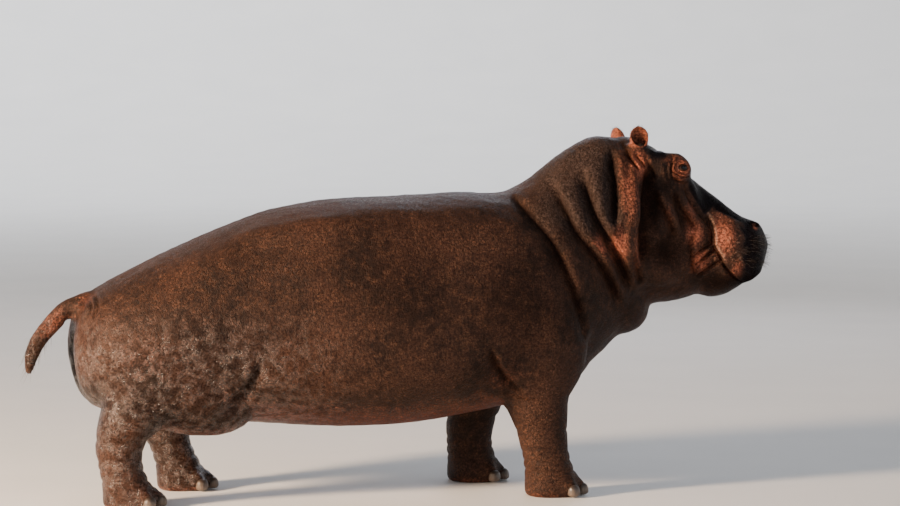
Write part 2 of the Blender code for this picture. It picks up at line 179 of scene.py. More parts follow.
headRows = [
    (0.95, 1.60, 0.96, 1.14, 0.16, 0.50, 2.0),       # occiput
    (1.01, 1.626, 0.99, 0.985, 0.245, 0.42, 2.1),    # ears
    (1.10, 1.600, 1.06, 0.945, 0.262, 0.40, 2.1),    # temples
    (1.19, 1.543, 1.15, 0.925, 0.232, 0.40, 2.2),    # brow
    (1.275, 1.474, 1.23, 0.915, 0.196, 0.42, 2.3),   # eyes
    (1.365, 1.402, 1.31, 0.905, 0.172, 0.44, 2.5),   # bridge
    (1.455, 1.333, 1.38, 0.900, 0.182, 0.46, 2.8),   # waist
    (1.535, 1.267, 1.455, 0.912, 0.216, 0.46, 3.0),  # muzzle
    (1.612, 1.224, 1.530, 0.940, 0.212, 0.46, 2.8),  # nostrils
    (1.671, 1.182, 1.590, 0.972, 0.172, 0.46, 2.5),  # front of the lips
    (1.697, 1.120, 1.653, 1.037, 0.105, 0.50, 2.3),  # end of the nose
]
# centre, half sizes, and pitch, yaw and roll in degrees; made on both sides
pairedMasses = [
    ((0.43, 0.315, 0.84), (0.31, 0.165, 0.46), -20, 0, 3),      # shoulder
    ((-1.12, 0.240, 0.610), (0.42, 0.222, 0.27), 28, 0, 0),     # haunch
    ((1.045, 0.150, 1.160), (0.135, 0.135, 0.270), 8, 0, 0),    # jowl
    ((1.105, 0.125, 1.02), (0.165, 0.130, 0.115), 0, 0, 0),     # jaw angle
    ((1.215, 0.090, 1.13), (0.19, 0.125, 0.19), -30, 0, 0),     # cheek
    ((1.290, 0.120, 1.335), (0.060, 0.055, 0.19), -28, 0, 0),   # cheekbone
    ((1.214, 0.140, 1.474), (0.090, 0.064, 0.078), 12, -8, 0),  # orbit
    ((1.125, 0.135, 1.475), (0.120, 0.085, 0.090), 14, 0, 0),   # temple
    ((1.495, 0.130, 1.100), (0.120, 0.100, 0.165), -32, 0, 0),  # flew
    ((1.552, 0.115, 1.048), (0.085, 0.098, 0.115), -20, 0, 0),  # lip lobe
    ((1.602, 0.096, 1.192), (0.060, 0.056, 0.042), 25, 14, 0),  # nostril
    ((1.036, 0.148, 1.562), (0.060, 0.058, 0.055), 0, 0, 0),    # ear root
]
middleMasses = [
    ((1.475, 0.0, 0.968), (0.135, 0.165, 0.086), -28, 0, 0),    # chin
    ((1.09, 0.0, 0.97), (0.32, 0.20, 0.12), 4, 0, 0),           # gullet
    ((0.92, 0.0, 0.88), (0.22, 0.24, 0.16), 30, 0, 0),          # throat
    ((0.60, 0.0, 0.63), (0.26, 0.28, 0.21), -20, 0, 0),         # brisket
]
# height, forward and outward from the foot's middle, half length, half breadth
foreLegRows = [
    (0.92, -0.05, -0.03, 0.17, 0.12),
    (0.72, -0.05, -0.01, 0.190, 0.145),
    (0.52, -0.04, 0.00, 0.170, 0.142),
    (0.38, -0.03, 0.00, 0.135, 0.126),
    (0.26, -0.03, 0.00, 0.112, 0.112),
    (0.16, -0.02, 0.00, 0.108, 0.110),
    (0.08, 0.00, 0.00, 0.122, 0.122),
    (0.02, 0.00, 0.00, 0.126, 0.128),
    (-0.006, 0.00, 0.00, 0.120, 0.122),
]
hindLegRows = [
    (0.86, 0.22, -0.05, 0.26, 0.14),
    (0.68, 0.16, -0.02, 0.28, 0.17),
    (0.50, 0.08, 0.00, 0.225, 0.160),
    (0.38, 0.00, 0.01, 0.160, 0.130),
    (0.28, -0.05, 0.00, 0.112, 0.108),
    (0.18, -0.04, 0.00, 0.100, 0.102),
    (0.09, -0.01, 0.00, 0.112, 0.114),
    (0.02, 0.00, 0.00, 0.120, 0.122),
    (-0.006, 0.00, 0.00, 0.115, 0.116),
]
# rows, foot x, foot y, and how far the top stays ahead of the foot
legs = {
    "foreleg_right": (foreLegRows, 0.60, -0.285, -0.10),
    "foreleg_left": (foreLegRows, 0.36, 0.285, 0.12),
    "hindleg_right": (hindLegRows, -1.33, -0.275, 0.06),
    "hindleg_left": (hindLegRows, -1.02, 0.275, -0.22),
}
# middle x and z, half height, half width
tailRows = [
    (-1.360, 0.885, 0.075, 0.080),
    (-1.470, 0.883, 0.066, 0.070),
    (-1.540, 0.872, 0.050, 0.052),
    (-1.595, 0.847, 0.042, 0.041),
    (-1.648, 0.794, 0.040, 0.034),
    (-1.700, 0.732, 0.038, 0.028),
    (-1.732, 0.668, 0.034, 0.022),
    (-1.746, 0.610, 0.025, 0.015),
    (-1.750, 0.574, 0.012, 0.007),
]
body = {
    "voxel": 0.009,          # grain of the surface that joins the lofts
    "meltLength": 0.065,     # how far the joins melt
    "tailLoose": -1.50,      # between these the tail stops melting
    "tailFirm": -1.60,
    "tailHalfWidth": 0.10,
    "tailHold": 0.92,        # share of the melt that the firm tail is spared
    "meltLevels": 12,
    "leanFrom": 0.12,        # heights between which a leg leans to its top
    "leanTo": 0.80,
    "legSquareness": 0.88,
    "bellySquareness": 2.3,
    "soleSink": 0.006,
    "fineFrom": 0.88,        # the head's mesh is twice as fine from here on
    "relaxFrom": (0.3, 0.5),  # the refined front is relaxed from the first, fully from the second
    "relaxPasses": 4,
    "triangles": 186000,     # more than this is thinned out
    "tailFineTo": -1.48,     # the tail behind this and the feet below this keep most of theirs
    "feetFineTo": 0.2,
    "fineThinned": 0.90,
    "outlineFacing": 0.55,   # so does the back's outline, which faces sideways less than this
    "outlineFrom": 0.85,     # and lies above this
    "outlineThinned": 0.93,
}
toes = {
    "angles": (-66, -23, 23, 66),  # degrees about the foot's front
    "forward": 0.01,
    "reach": 0.097,
    "spread": 0.105,
    "turn": 0.7,                   # how far each points its own way
    "size": (0.056, 0.038, 0.048),
}


def turnsOf(corners):
    return [2 * math.pi * i / corners for i in range(corners)]


def girthLoft(rows, steps=8, corners=64):
    rings = []
    for xt, zt, xb, zb, half, high, square in smoothRows(rows, steps):
        top, bottom = Vector((xt, 0, zt)), Vector((xb, 0, zb))
        middle, rise = bottom.lerp(top, high), (top - bottom).normalized()
        up, down = (top - middle).length, (middle - bottom).length
        ring = []
        for turn in turnsOf(corners):
            power = 2 / (square if turn < math.pi else min(square, body["bellySquareness"]))
            across = half * signedPower(math.cos(turn), power)
            along = signedPower(math.sin(turn), power)
            ring.append(middle + rise * along * (up if along > 0 else down) + Vector((0, across, 0)))
        rings.append(ring)
    return skinned(rings)


def levelLoft(rows, steps=6, corners=40):
    rings = []
    power = body["legSquareness"]
    for z, x, y, length, breadth in smoothRows(rows, steps):
        rings.append([Vector((x + length * signedPower(math.cos(turn), power),
                              y + breadth * signedPower(math.sin(turn), power), z))
                      for turn in turnsOf(corners)])
    return skinned(rings)


def tailLoft(rows, steps=6, corners=28):
    rows = smoothRows(rows, steps)
    rings = []
    for before, row, after in zip(np.vstack([rows[:1], rows]), rows, np.vstack([rows[1:], rows[-1:]])):
        run = Vector((after[0] - before[0], 0, after[1] - before[1])).normalized()
        rise = Vector((-run.z, 0, run.x))
        rings.append([Vector((row[0], 0, row[1])) + rise * row[2] * math.sin(turn)
                      + Vector((0, row[3] * math.cos(turn), 0)) for turn in turnsOf(corners)])
    return skinned(rings)


def oval(centre, half, pitch=0, yaw=0, roll=0):
    turn = (Matrix.Rotation(math.radians(yaw), 4, "Z") @ Matrix.Rotation(math.radians(pitch), 4, "Y")
            @ Matrix.Rotation(math.radians(roll), 4, "X"))
    place = Matrix.Translation(centre) @ turn @ Matrix.Diagonal((*half, 1))
    bm = bmesh.new()
    bmesh.ops.create_uvsphere(bm, u_segments=40, v_segments=24, radius=1, matrix=place)
    return bm


def legRows(rows, x, y, lean):
    made = []
    for z, forward, outward, length, breadth in rows:
        share = float(smoothStep(body["leanFrom"], body["leanTo"], z))
        made.append((z, x + forward + lean * share, y + math.copysign(outward, y * outward),
                     length, breadth))
    return made


def toePlaces(x, y):
    for angle in toes["angles"]:
        turn = math.radians(angle)
        yield (x + toes["forward"] + toes["reach"] * math.cos(turn),
               y + toes["spread"] * math.sin(turn), angle * toes["turn"])


def fleshPieces():
    yield girthLoft(trunkRows)
    yield girthLoft(headRows)
    yield tailLoft(tailRows)
    for (x, y, z), half, pitch, yaw, roll in pairedMasses:
        for side in sideNames:
            yield oval((x, side * y, z), half, pitch, side * yaw, side * roll)
    for mass in middleMasses:
        yield oval(*mass)
    for rows, x, y, lean in legs.values():
        yield levelLoft(legRows(rows, x, y, lean))
        for toeX, toeY, angle in toePlaces(x, y):
            yield oval((toeX, toeY, toes["size"][2] - body["soleSink"]), toes["size"], 0, angle, 0)


def meltedFlesh():
    # one closed skin over all the pieces, its joins melted; the thin tail is held firm
    flesh = objectOf("hide", joinShapes(fleshPieces(), "hide"))
    reshape(flesh, "REMESH", mode="VOXEL", voxel_size=body["voxel"])
    x, y, z = pointsOf(flesh.data).T
    firm = smoothStep(body["tailLoose"], body["tailFirm"], x) * (np.abs(y) < body["tailHalfWidth"])
    levels = body["meltLevels"]
    loose = flesh.vertex_groups.new(name="loose")
    for level in range(1, levels + 1):
        chosen = np.flatnonzero(np.round(levels * (1 - body["tailHold"] * firm)) == level)
        loose.add(chosen.tolist(), level / levels, "REPLACE")
    reshape(flesh, "SMOOTH", vertex_group=loose.name, factor=0.5,
            iterations=round((body["meltLength"] / body["voxel"]) ** 2))
    flesh.vertex_groups.clear()
    return flesh


def refine(mesh, chosen):
    # splits each edge of the faces whose middles are chosen
    wanted = np.flatnonzero(chosen(vectorsOf(mesh.polygons, "center")))
    bm = bmesh.new()
    bm.from_mesh(mesh)
    bm.faces.ensure_lookup_table()
    edges = {edge for i in wanted for edge in bm.faces[i].edges}
    bmesh.ops.subdivide_edges(bm, edges=list(edges), cuts=1, use_grid_fill=True)
    bm.to_mesh(mesh)
    bm.free()
    mesh.update()


def relax(mesh, weights, passes):
    # pulls points towards their neighbours' middle, as far as each one's weight says
    ends = np.zeros(len(mesh.edges) * 2, int)
    mesh.edges.foreach_get("vertices", ends)
    a, b = ends.reshape(-1, 2).T
    points = pointsOf(mesh)
    count = np.bincount(a, minlength=len(points)) + np.bincount(b, minlength=len(points))
    for _ in range(passes):
        sums = [np.bincount(a, points[b, k], len(points)) + np.bincount(b, points[a, k], len(points))
                for k in range(3)]
        mean = np.stack(sums, 1) / count[:, None]
        points += (mean - points) * weights[:, None] * 0.5
    placePoints(mesh, points)


# Folds and swells, on both sides of the head, neck and body.
# Each line runs through (x, z) points in side view. The fold's sharp edge is on its right hand
# when the line is walked as seen from the animal's left. After the points: width of the sharp
# side, width of the soft side, depth, height of the sharp and the soft lip, and the ends' fade.
foldLines = {
    "lip": ([(1.373, 1.262), (1.378, 1.247), (1.384, 1.217), (1.388, 1.185), (1.387, 1.153), (1.389, 1.125),
             (1.401, 1.101), (1.416, 1.078), (1.427, 1.054), (1.441, 1.031), (1.460, 1.008), (1.482, 0.984),
             (1.512, 0.962), (1.552, 0.950), (1.600, 0.962), (1.645, 0.988), (1.70, 1.005)],
            0.0055, 0.010, 0.024, 0.012, 0.006, 0.05),
    "flewTop": ([(1.530, 1.232), (1.503, 1.249), (1.472, 1.266), (1.445, 1.280), (1.424, 1.288),
                 (1.398, 1.284), (1.376, 1.266)], 0.008, 0.030, 0.010, 0.007, 0.0, 0.25),
    "cornerFirst": ([(1.390, 1.132), (1.368, 1.119), (1.340, 1.104), (1.312, 1.084), (1.284, 1.062)],
                    0.0055, 0.010, 0.018, 0.010, 0.004, 0.12),
    "cornerSecond": ([(1.408, 1.104), (1.386, 1.092), (1.364, 1.076), (1.340, 1.058), (1.318, 1.040),
                      (1.296, 1.020)], 0.0055, 0.010, 0.018, 0.010, 0.004, 0.12),
    "cornerThird": ([(1.440, 1.060), (1.420, 1.048), (1.396, 1.032), (1.370, 1.014), (1.344, 0.994),
                     (1.318, 0.972)], 0.0055, 0.010, 0.014, 0.008, 0.004, 0.12),
    "cornerRear": ([(1.301, 1.205), (1.296, 1.180), (1.285, 1.150), (1.281, 1.118), (1.288, 1.080),
                    (1.296, 1.045), (1.304, 1.005), (1.320, 0.965)], 0.008, 0.022, 0.016, 0.008, 0.0, 0.2),
    "ridgeLow": ([(1.205, 1.385), (1.215, 1.349), (1.229, 1.317), (1.249, 1.284), (1.274, 1.247),
                  (1.296, 1.214), (1.302, 1.180)], 0.008, 0.024, 0.020, 0.010, 0.0, 0.15),
    "ridgeHigh": ([(1.384, 1.180), (1.370, 1.212), (1.347, 1.245), (1.316, 1.278), (1.288, 1.315),
                   (1.270, 1.348), (1.258, 1.390), (1.262, 1.425)], 0.010, 0.030, 0.012, 0.006, 0.0, 0.2),
    "ridgeRear": ([(1.108, 1.405), (1.114, 1.375), (1.122, 1.340), (1.141, 1.305), (1.162, 1.265),
                   (1.182, 1.225), (1.193, 1.190), (1.197, 1.150)], 0.009, 0.030, 0.018, 0.009, 0.0, 0.15),
    "ridgeMiddle": ([(1.236, 1.180), (1.234, 1.221), (1.224, 1.272), (1.207, 1.322), (1.198, 1.373)],
                    0.012, 0.024, 0.010, 0.005, 0.0, 0.25),
    "bandFront": ([(1.036, 1.020), (1.028, 1.086), (1.024, 1.160), (1.027, 1.228), (1.036, 1.296),
                   (1.046, 1.363), (1.062, 1.431), (1.076, 1.480), (1.074, 1.520)],
                  0.020, 0.060, 0.042, 0.012, 0.0, 0.14),
    "bandRear": ([(0.918, 1.585), (0.917, 1.540), (0.914, 1.490), (0.912, 1.434), (0.908, 1.367),
                  (0.902, 1.309), (0.893, 1.255), (0.888, 1.215)], 0.011, 0.040, 0.044, 0.016, 0.0, 0.18),
    "neckFirst": ([(0.757, 1.520), (0.766, 1.455), (0.771, 1.408), (0.779, 1.368), (0.788, 1.324),
                   (0.803, 1.279), (0.823, 1.234), (0.846, 1.188), (0.870, 1.147), (0.896, 1.105),
                   (0.930, 1.040), (0.965, 0.970), (0.990, 0.900)], 0.014, 0.042, 0.044, 0.013, 0.0, 0.16),
    "neckSecond": ([(0.618, 1.470), (0.627, 1.428), (0.636, 1.390), (0.645, 1.355), (0.659, 1.316),
                    (0.675, 1.276), (0.690, 1.236), (0.711, 1.201), (0.737, 1.164), (0.770, 1.126),
                    (0.812, 1.075), (0.862, 1.000), (0.905, 0.915), (0.930, 0.830)],
                   0.013, 0.042, 0.036, 0.009, 0.0, 0.14),
    "shoulder": ([(0.425, 1.385), (0.442, 1.370), (0.457, 1.356), (0.474, 1.336), (0.491, 1.307),
                  (0.513, 1.272), (0.539, 1.236), (0.565, 1.197), (0.588, 1.158), (0.608, 1.117),
                  (0.628, 1.070), (0.660, 0.990), (0.700, 0.890), (0.735, 0.780), (0.745, 0.680)],
                 0.012, 0.034, 0.025, 0.007, 0.0, 0.10),
    "neckThird": ([(0.985, 1.120), (0.995, 1.060), (1.015, 1.000), (1.045, 0.945)],
                  0.012, 0.030, 0.016, 0.008, 0.0, 0.3),
    "underEar": ([(0.984, 1.605), (0.984, 1.571), (0.991, 1.540), (1.002, 1.512), (1.017, 1.488),
                  (1.030, 1.46)], 0.006, 0.012, 0.021, 0.010, 0.002, 0.2),
    "earFold": ([(1.012, 1.560), (1.020, 1.540), (1.034, 1.520), (1.052, 1.500), (1.070, 1.485)],
                0.006, 0.009, 0.014, 0.008, 0.002, 0.25),
    "temple": ([(1.063, 1.545), (1.068, 1.522), (1.077, 1.498), (1.089, 1.472), (1.100, 1.444),
                (1.108, 1.41)], 0.007, 0.012, 0.012, 0.006, 0.0, 0.25),
    "behindEye": ([(1.214, 1.545), (1.194, 1.525), (1.185, 1.498), (1.184, 1.470), (1.194, 1.442),
                   (1.217, 1.421), (1.250, 1.409), (1.280, 1.418)],
                  0.007, 0.012, 0.011, 0.006, 0.002, 0.15),
    "behindEyeSecond": ([(1.172, 1.530), (1.164, 1.500), (1.163, 1.468), (1.172, 1.435), (1.190, 1.408)],
                        0.007, 0.012, 0.007, 0.003, 0.0, 0.25),
    "throat": ([(1.02, 0.935), (1.10, 0.93), (1.20, 0.925), (1.30, 0.930)],
               0.014, 0.024, 0.006, 0.0, 0.0, 0.25),
    "armpit": ([(0.250, 0.720), (0.300, 0.620), (0.370, 0.535), (0.450, 0.480)],
               0.014, 0.034, 0.018, 0.008, 0.003, 0.25),
    "elbow": ([(0.330, 0.505), (0.420, 0.458), (0.520, 0.450)], 0.012, 0.016, 0.010, 0.005, 0.003, 0.25),
    "flank": ([(-0.760, 0.680), (-0.815, 0.560), (-0.890, 0.465), (-0.960, 0.400)],
              0.034, 0.016, 0.018, 0.004, 0.009, 0.25),
    "thigh": ([(-1.455, 0.560), (-1.380, 0.500), (-1.280, 0.470), (-1.180, 0.475)],
              0.014, 0.018, 0.009, 0.005, 0.003, 0.25),
    "tailRootFirst": ([(-1.462, 0.945), (-1.457, 0.920), (-1.461, 0.890), (-1.473, 0.862), (-1.490, 0.835)],
                      0.007, 0.010, 0.011, 0.007, 0.005, 0.25),
    "tailRootSecond": ([(-1.482, 0.925), (-1.481, 0.895), (-1.489, 0.868), (-1.507, 0.838), (-1.520, 0.80)],
                       0.006, 0.009, 0.010, 0.006, 0.005, 0.25),
    "tailRootThird": ([(-1.507, 0.905), (-1.513, 0.876), (-1.530, 0.850)],
                      0.006, 0.007, 0.007, 0.004, 0.004, 0.3),
}
# where a broad roll starts to fall beyond its sharp edge, and where it has fallen away
rollReach = {"bandRear": (0.080, 0.135), "bandFront": (0.070, 0.110), "neckFirst": (0.040, 0.120),
             "neckSecond": (0.038, 0.130), "shoulder": (0.036, 0.150), "ridgeRear": (0.014, 0.052),
             "ridgeLow": (0.016, 0.058), "lip": (0.010, 0.040), "cornerFirst": (0.010, 0.034),
             "cornerSecond": (0.010, 0.034)}
# centre, half sizes, height; made on both sides
swells = {
    "flewPad": ((1.452, 0.215, 1.150), (0.060, 0.080, 0.090), 0.012),
    "lipRear": ((1.412, 0.190, 1.200), (0.026, 0.080, 0.060), 0.006),
    "mouthCorner": ((1.335, 0.190, 1.170), (0.034, 0.080, 0.046), 0.017),
    "cornerRolls": ((1.345, 0.180, 1.055), (0.045, 0.080, 0.070), 0.008),
    "band": ((0.975, 0.280, 1.330), (0.050, 0.120, 0.190), 0.014),
    "hollow": ((1.095, 0.250, 1.300), (0.045, 0.100, 0.120), -0.022),
    "cheekBelow": ((1.190, 0.210, 1.110), (0.080, 0.100, 0.060), -0.006),
    "browPad": ((1.225, 0.165, 1.548), (0.050, 0.050, 0.020), 0.004),
    "bridgeSide": ((1.350, 0.130, 1.340), (0.060, 0.060, 0.040), -0.006),
    "noseFill": ((1.645, 0.080, 1.040), (0.050, 0.150, 0.034), 0.012),
    "lipTrim": ((1.625, 0.100, 0.975), (0.050, 0.150, 0.034), -0.013),
    "rumpCleft": ((-1.560, 0.000, 0.650), (0.120, 0.062, 0.115), -0.060),
    "shelfRear": ((-0.740, 0.330, 1.232), (0.180, 0.090, 0.036), 0.014),
    "shelfMiddle": ((-0.430, 0.340, 1.268), (0.200, 0.090, 0.036), 0.013),
    "shelfFront": ((-0.090, 0.340, 1.306), (0.220, 0.090, 0.036), 0.010),
    "underShelf": ((-0.640, 0.430, 1.150), (0.300, 0.100, 0.045), -0.014),
    "buttock": ((-1.540, 0.190, 0.680), (0.090, 0.080, 0.150), 0.014),
    "hipBone": ((-0.960, 0.300, 1.080), (0.100, 0.090, 0.080), 0.010),
    "hipHollow": ((-0.740, 0.420, 1.040), (0.110, 0.120, 0.110), -0.014),
    "shoulderBlade": ((0.330, 0.330, 1.180), (0.110, 0.120, 0.160), 0.010),
    "shoulderHollow": ((0.060, 0.460, 0.950), (0.120, 0.150, 0.220), -0.012),
    "lastRibs": ((-0.250, 0.520, 0.850), (0.250, 0.200, 0.260), 0.010),
}
# rings round the legs: height above the floor, width, depth
legCreases = [(0.118, 0.009, 0.006), (0.165, 0.007, 0.0045), (0.205, 0.008, 0.004), (0.300, 0.012, 0.005)]
hide = {
    "foldFacing": (0.08, 0.45),       # how far sideways a place faces before folds start and are full
    "rumpFrom": -1.4,                 # behind this, folds run on round the rump
    "rumpShare": 0.4,
    "roundTail": (-1.575, -1.595),    # the swells end here on the tail
    "tailWidth": 0.06,
    "middleStrip": 0.03,              # half width along the middle without finer mesh in the folds
    "creaseTop": 0.36,
    "creaseWander": (0.006, 0.12, 5),   # height, size and seed of the leg rings' wander
    "unevenTrunk": (0.0022, 0.16, 3),   # height, size and seed of the hide's unevenness
    "uneven": (0.0010, 0.055, 4),
}


def lineDistance(points, line):
    # side-view distance from a smoothed line, positive on its sharp side, and the share of its length
    run = smoothRows(line, 4)
    lengths = np.concatenate([[0], np.cumsum(np.linalg.norm(np.diff(run, axis=0), axis=1))])
    best = np.full(len(points), 9.0)
    share = np.zeros(len(points))
    flat = points[:, [0, 2]]
    for a, b, start, end in zip(run, run[1:], lengths, lengths[1:]):
        way = b - a
        along = np.clip((flat - a) @ way / (way @ way), 0, 1)
        gap = np.linalg.norm(flat - a - along[:, None] * way, axis=1)
        across = way[0] * (flat[:, 1] - a[1]) - way[1] * (flat[:, 0] - a[0])
        nearer = gap < np.abs(best)
        best[nearer] = np.copysign(gap, across)[nearer]
        share[nearer] = ((start + along * (end - start)) / lengths[-1])[nearer]
    return best, share


def nearLine(points, line, reach):
    low, high = np.min(line, axis=0) - reach, np.max(line, axis=0) + reach
    flat = points[:, [0, 2]]
    return np.flatnonzero(((flat > low) & (flat < high)).all(1))


def endFade(share, fade):
    return smoothStep(0, fade, share) * smoothStep(0, fade, 1 - share)


def foldRise(points, normals, name):
    # the furrow's depth and its lips' height at each point near a line
    line, sharp, soft, depth, sharpLip, softLip, fade = foldLines[name]
    level, reach = rollReach.get(name, (sharp, 6 * sharp))
    near = nearLine(points, line, max(reach, 5 * soft))
    gap, share = lineDistance(points[near], line)
    ends = endFade(share, fade)
    if name != "lip":
        onRump = hide["rumpShare"] * (points[near, 0] < hide["rumpFrom"])
        ends = ends * smoothStep(*hide["foldFacing"], np.abs(normals[near, 1]) + onRump)
    furrow = np.where(gap > 0, bell(gap, 0, sharp), bell(gap, 0, soft, 1.5))
    roll = np.where(gap > 0, sharpLip * (1 - smoothStep(level, reach, gap)),
                    softLip * (1 - smoothStep(soft, 4 * soft, -gap)))
    return near, (roll * (1 - furrow) - depth * furrow) * ends


def hills(points, size, seed):
    # gentle unevenness from a few waves in seeded directions, about -1 to 1
    rng = np.random.default_rng(seed)
    total = np.zeros(len(points))
    for _ in range(9):
        way = rng.normal(size=3)
        way /= np.linalg.norm(way)
        total += np.sin(points @ way * 2 * math.pi / (size * rng.uniform(0.7, 1.5)) + rng.uniform(0, 6.3))
    return total / 4.5


def mirrored(points):
    return points * np.where(points[:, [1]] < 0, (1, -1, 1), 1)


def sculptForms(mesh):
    points, normals = pointsOf(mesh), normalsOf(mesh)
    x, y, z = mirrored(points).T
    rise = np.zeros(len(points))
    for centre, half, height in swells.values():
        rise += height * np.exp(-(((mirrored(points) - centre) / half) ** 2).sum(1))
    rise *= 1 - smoothStep(*hide["roundTail"], x) * (y < hide["tailWidth"])
    for name in foldLines:
        near, change = foldRise(points, normals, name)
        rise[near] += change
    wander, size, seed = hide["creaseWander"]
    for height, width, depth in legCreases:
        ring = bell(z - wander * hills(points, size, seed), height, width)
        rise -= depth * ring * (z < hide["creaseTop"])
    trunkOnly = smoothStep(0.25, 0.5, z) * smoothStep(1.0, 0.6, x)
    for (height, size, seed), where in ((hide["unevenTrunk"], trunkOnly), (hide["uneven"], 1)):
        rise += height * hills(points, size, seed) * where
    placePoints(mesh, points + normals * rise[:, None])


eyes = {
    "centre": (1.240, 0.178, 1.481),
    "radius": 0.0255,
    "looks": (0.07, 0.97, 0.20),
    "along": (1, 0, -0.12),
    "halfLength": 0.0225,
    "halfUp": 0.0178,
    "halfDown": 0.0172,
    "lid": 0.0040,
    "lidGroove": (1.66, 0.13, 0.0050),  # place in opening widths, width, depth
    "bagGroove": (2.42, 0.16, 0.0085),
    "bagWay": (-0.62, -0.78),           # the bag lies below and behind the eye
    "bagLeast": 0.18,                   # its share on the far side
    "bag": (2.03, 0.22, 0.0055),
    "outerBag": (2.85, 0.25),
    "lidRoll": (1.28, 0.16, 0.0020),
    "ballRoom": 0.007,                  # the socket's floor lies this far inside the eyeball
    "meshReach": 0.062,                 # the mesh is finest this near
}


def sideFrame(where, side):
    # a place on one side of the head: its middle, and its ahead, up and outward ways
    (x, y, z), looks, along = where["centre"], where["looks"], where["along"]
    out = Vector((looks[0], side * looks[1], looks[2])).normalized()
    ahead = Vector((along[0], side * along[1], along[2]))
    ahead = (ahead - out * ahead.dot(out)).normalized()
    up = out.cross(ahead)
    up = up if up.z > 0 else -up
    return np.array((x, side * y, z)), np.array(ahead), np.array(up), np.array(out)


def eyePlaces(points, side):
    # near points as ahead, up and out of the eye, and how many opening widths from its middle they lie
    middle, ahead, up, out = sideFrame(eyes, side)
    local = points - middle
    near = np.flatnonzero((np.linalg.norm(local, axis=1) < 0.085) & (local @ out > -0.012))
    a, b, h = local[near] @ ahead, local[near] @ up, local[near] @ out
    half = np.where(b > 0, eyes["halfUp"], eyes["halfDown"])
    return near, a, b, h, np.sqrt((a / eyes["halfLength"]) ** 2 + (b / half) ** 2) + 1e-6


def eyeFolds(a, b, q):
    # grooves of the lid and of the bag below and behind the eye
    turn = np.arctan2(b, a)
    (ahead, up), least = eyes["bagWay"], eyes["bagLeast"]
    baggy = least + (1 - least) * smoothStep(-0.5, 0.7, (ahead * a + up * b) / (np.hypot(a, b) + 1e-6))
    wander = q + 0.12 * np.sin(3 * turn + 0.8) + 0.06 * np.sin(5 * turn)
    lidGroove = bell(wander, *eyes["lidGroove"][:2]) * (0.35 + 0.65 * baggy)
    bagGroove = bell(wander, *eyes["bagGroove"][:2]) * baggy
    bag = (bell(wander, *eyes["bag"][:2]) + 0.7 * bell(wander, *eyes["outerBag"])) * baggy
    return lidGroove, bagGroove, bag


def shapeLids(mesh):
    points = pointsOf(mesh)
    radius = eyes["radius"]
    for side in sideNames:
        middle, ahead, up, out = sideFrame(eyes, side)
        near, a, b, h, q = eyePlaces(points, side)
        held = 1 + (q - 1) * (1 - 0.8 * bell(q, 1, 0.16))  # gathers points on the lids' edge
        a, b, q = a * held / q, b * held / q, held
        ball = np.sqrt(np.maximum(radius ** 2 - np.minimum(np.hypot(a, b), 0.93 * radius) ** 2, 0))
        lid = ball + eyes["lid"] * (1 - 0.35 * smoothStep(1.0, 1.5, q))
        onLid = 1 - smoothStep(1.25, 2.6, q)
        height = h * (1 - onLid) + lid * onLid
        lidGroove, bagGroove, bag = eyeFolds(a, b, q)
        height += eyes["lidRoll"][2] * bell(q, *eyes["lidRoll"][:2]) + eyes["bag"][2] * bag
        height -= eyes["lidGroove"][2] * lidGroove + eyes["bagGroove"][2] * bagGroove
        inside = 1 - smoothStep(0.86, 0.985, q)
        height = height * (1 - inside) + (ball - eyes["ballRoom"]) * inside
        points[near] = middle + a[:, None] * ahead + b[:, None] * up + height[:, None] * out
    placePoints(mesh, points)


nostrils = {
    "centre": (1.602, 0.132, 1.207),
    "looks": (0.25, 0.80, 0.55),
    "along": (0.80, -0.30, -0.20),
    "halfLength": 0.022,
    "halfWidth": 0.0085,
    "curl": 0.30,
    "depth": 0.024,
    "rim": 0.005,
    "reach": 0.08,
    "meshReach": 0.050,
}


def shapeNostrils(mesh):
    points = pointsOf(mesh)
    length, width = nostrils["halfLength"], nostrils["halfWidth"]
    for side in sideNames:
        middle, ahead, across, out = sideFrame(nostrils, side)
        local = points - middle
        a, b = local @ ahead, local @ across
        b = b - nostrils["curl"] * a ** 2 / length
        slit = bell(a, 0, length, 4) * bell(b, 0, width)
        rim = bell(np.hypot(a / (1.25 * length), b / (2.4 * width)), 1, 0.42)
        rise = nostrils["rim"] * rim - nostrils["depth"] * slit
        rise *= np.linalg.norm(local, axis=1) < nostrils["reach"]
        points = points + rise[:, None] * out
    placePoints(mesh, points)


# thin cups that grow out of the hide
ears = {
    "root": (1.040, 0.162, 1.566),
    "lean": {-1: (-0.06, 0.26, 1.0), 1: (-0.12, 0.95, 1.0)},  # the left ear is let down
    "turn": {-1: 88, 1: 15},    # degrees outwards from straight ahead that the cup opens
    "back": 0.114,              # rim heights behind and before the cup
    "lip": 0.026,
    "rimPower": 1.15,
    "rimWaves": 0.025,
    "rootRing": (0.022, 0.014),  # height and width of the relaxed ring where the cup leaves the hide
    "rootGirths": (0.026, 0.06),
    "rootPasses": 10,
    "wall": 0.0070,
    "floor": 0.14,              # the cup's floor, as a share of the rim's height
    "innerHeight": 0.985,
    "hollowWall": 1.12,         # walls that the hollow is first cut with
    "girths": [(0.00, 0.037, 0.035), (0.20, 0.041, 0.034), (0.45, 0.044, 0.031), (0.66, 0.043, 0.028),
               (0.82, 0.037, 0.023), (0.93, 0.027, 0.016), (1.0, 0.013, 0.008)],
    "shares": [0, 0.14, 0.28, 0.42, 0.56, 0.70, 0.82, 0.92, 1.0],
    "hollowShares": [0.16, 0.28, 0.42, 0.56, 0.70, 0.82, 0.92, 1.0, 1.12],
}


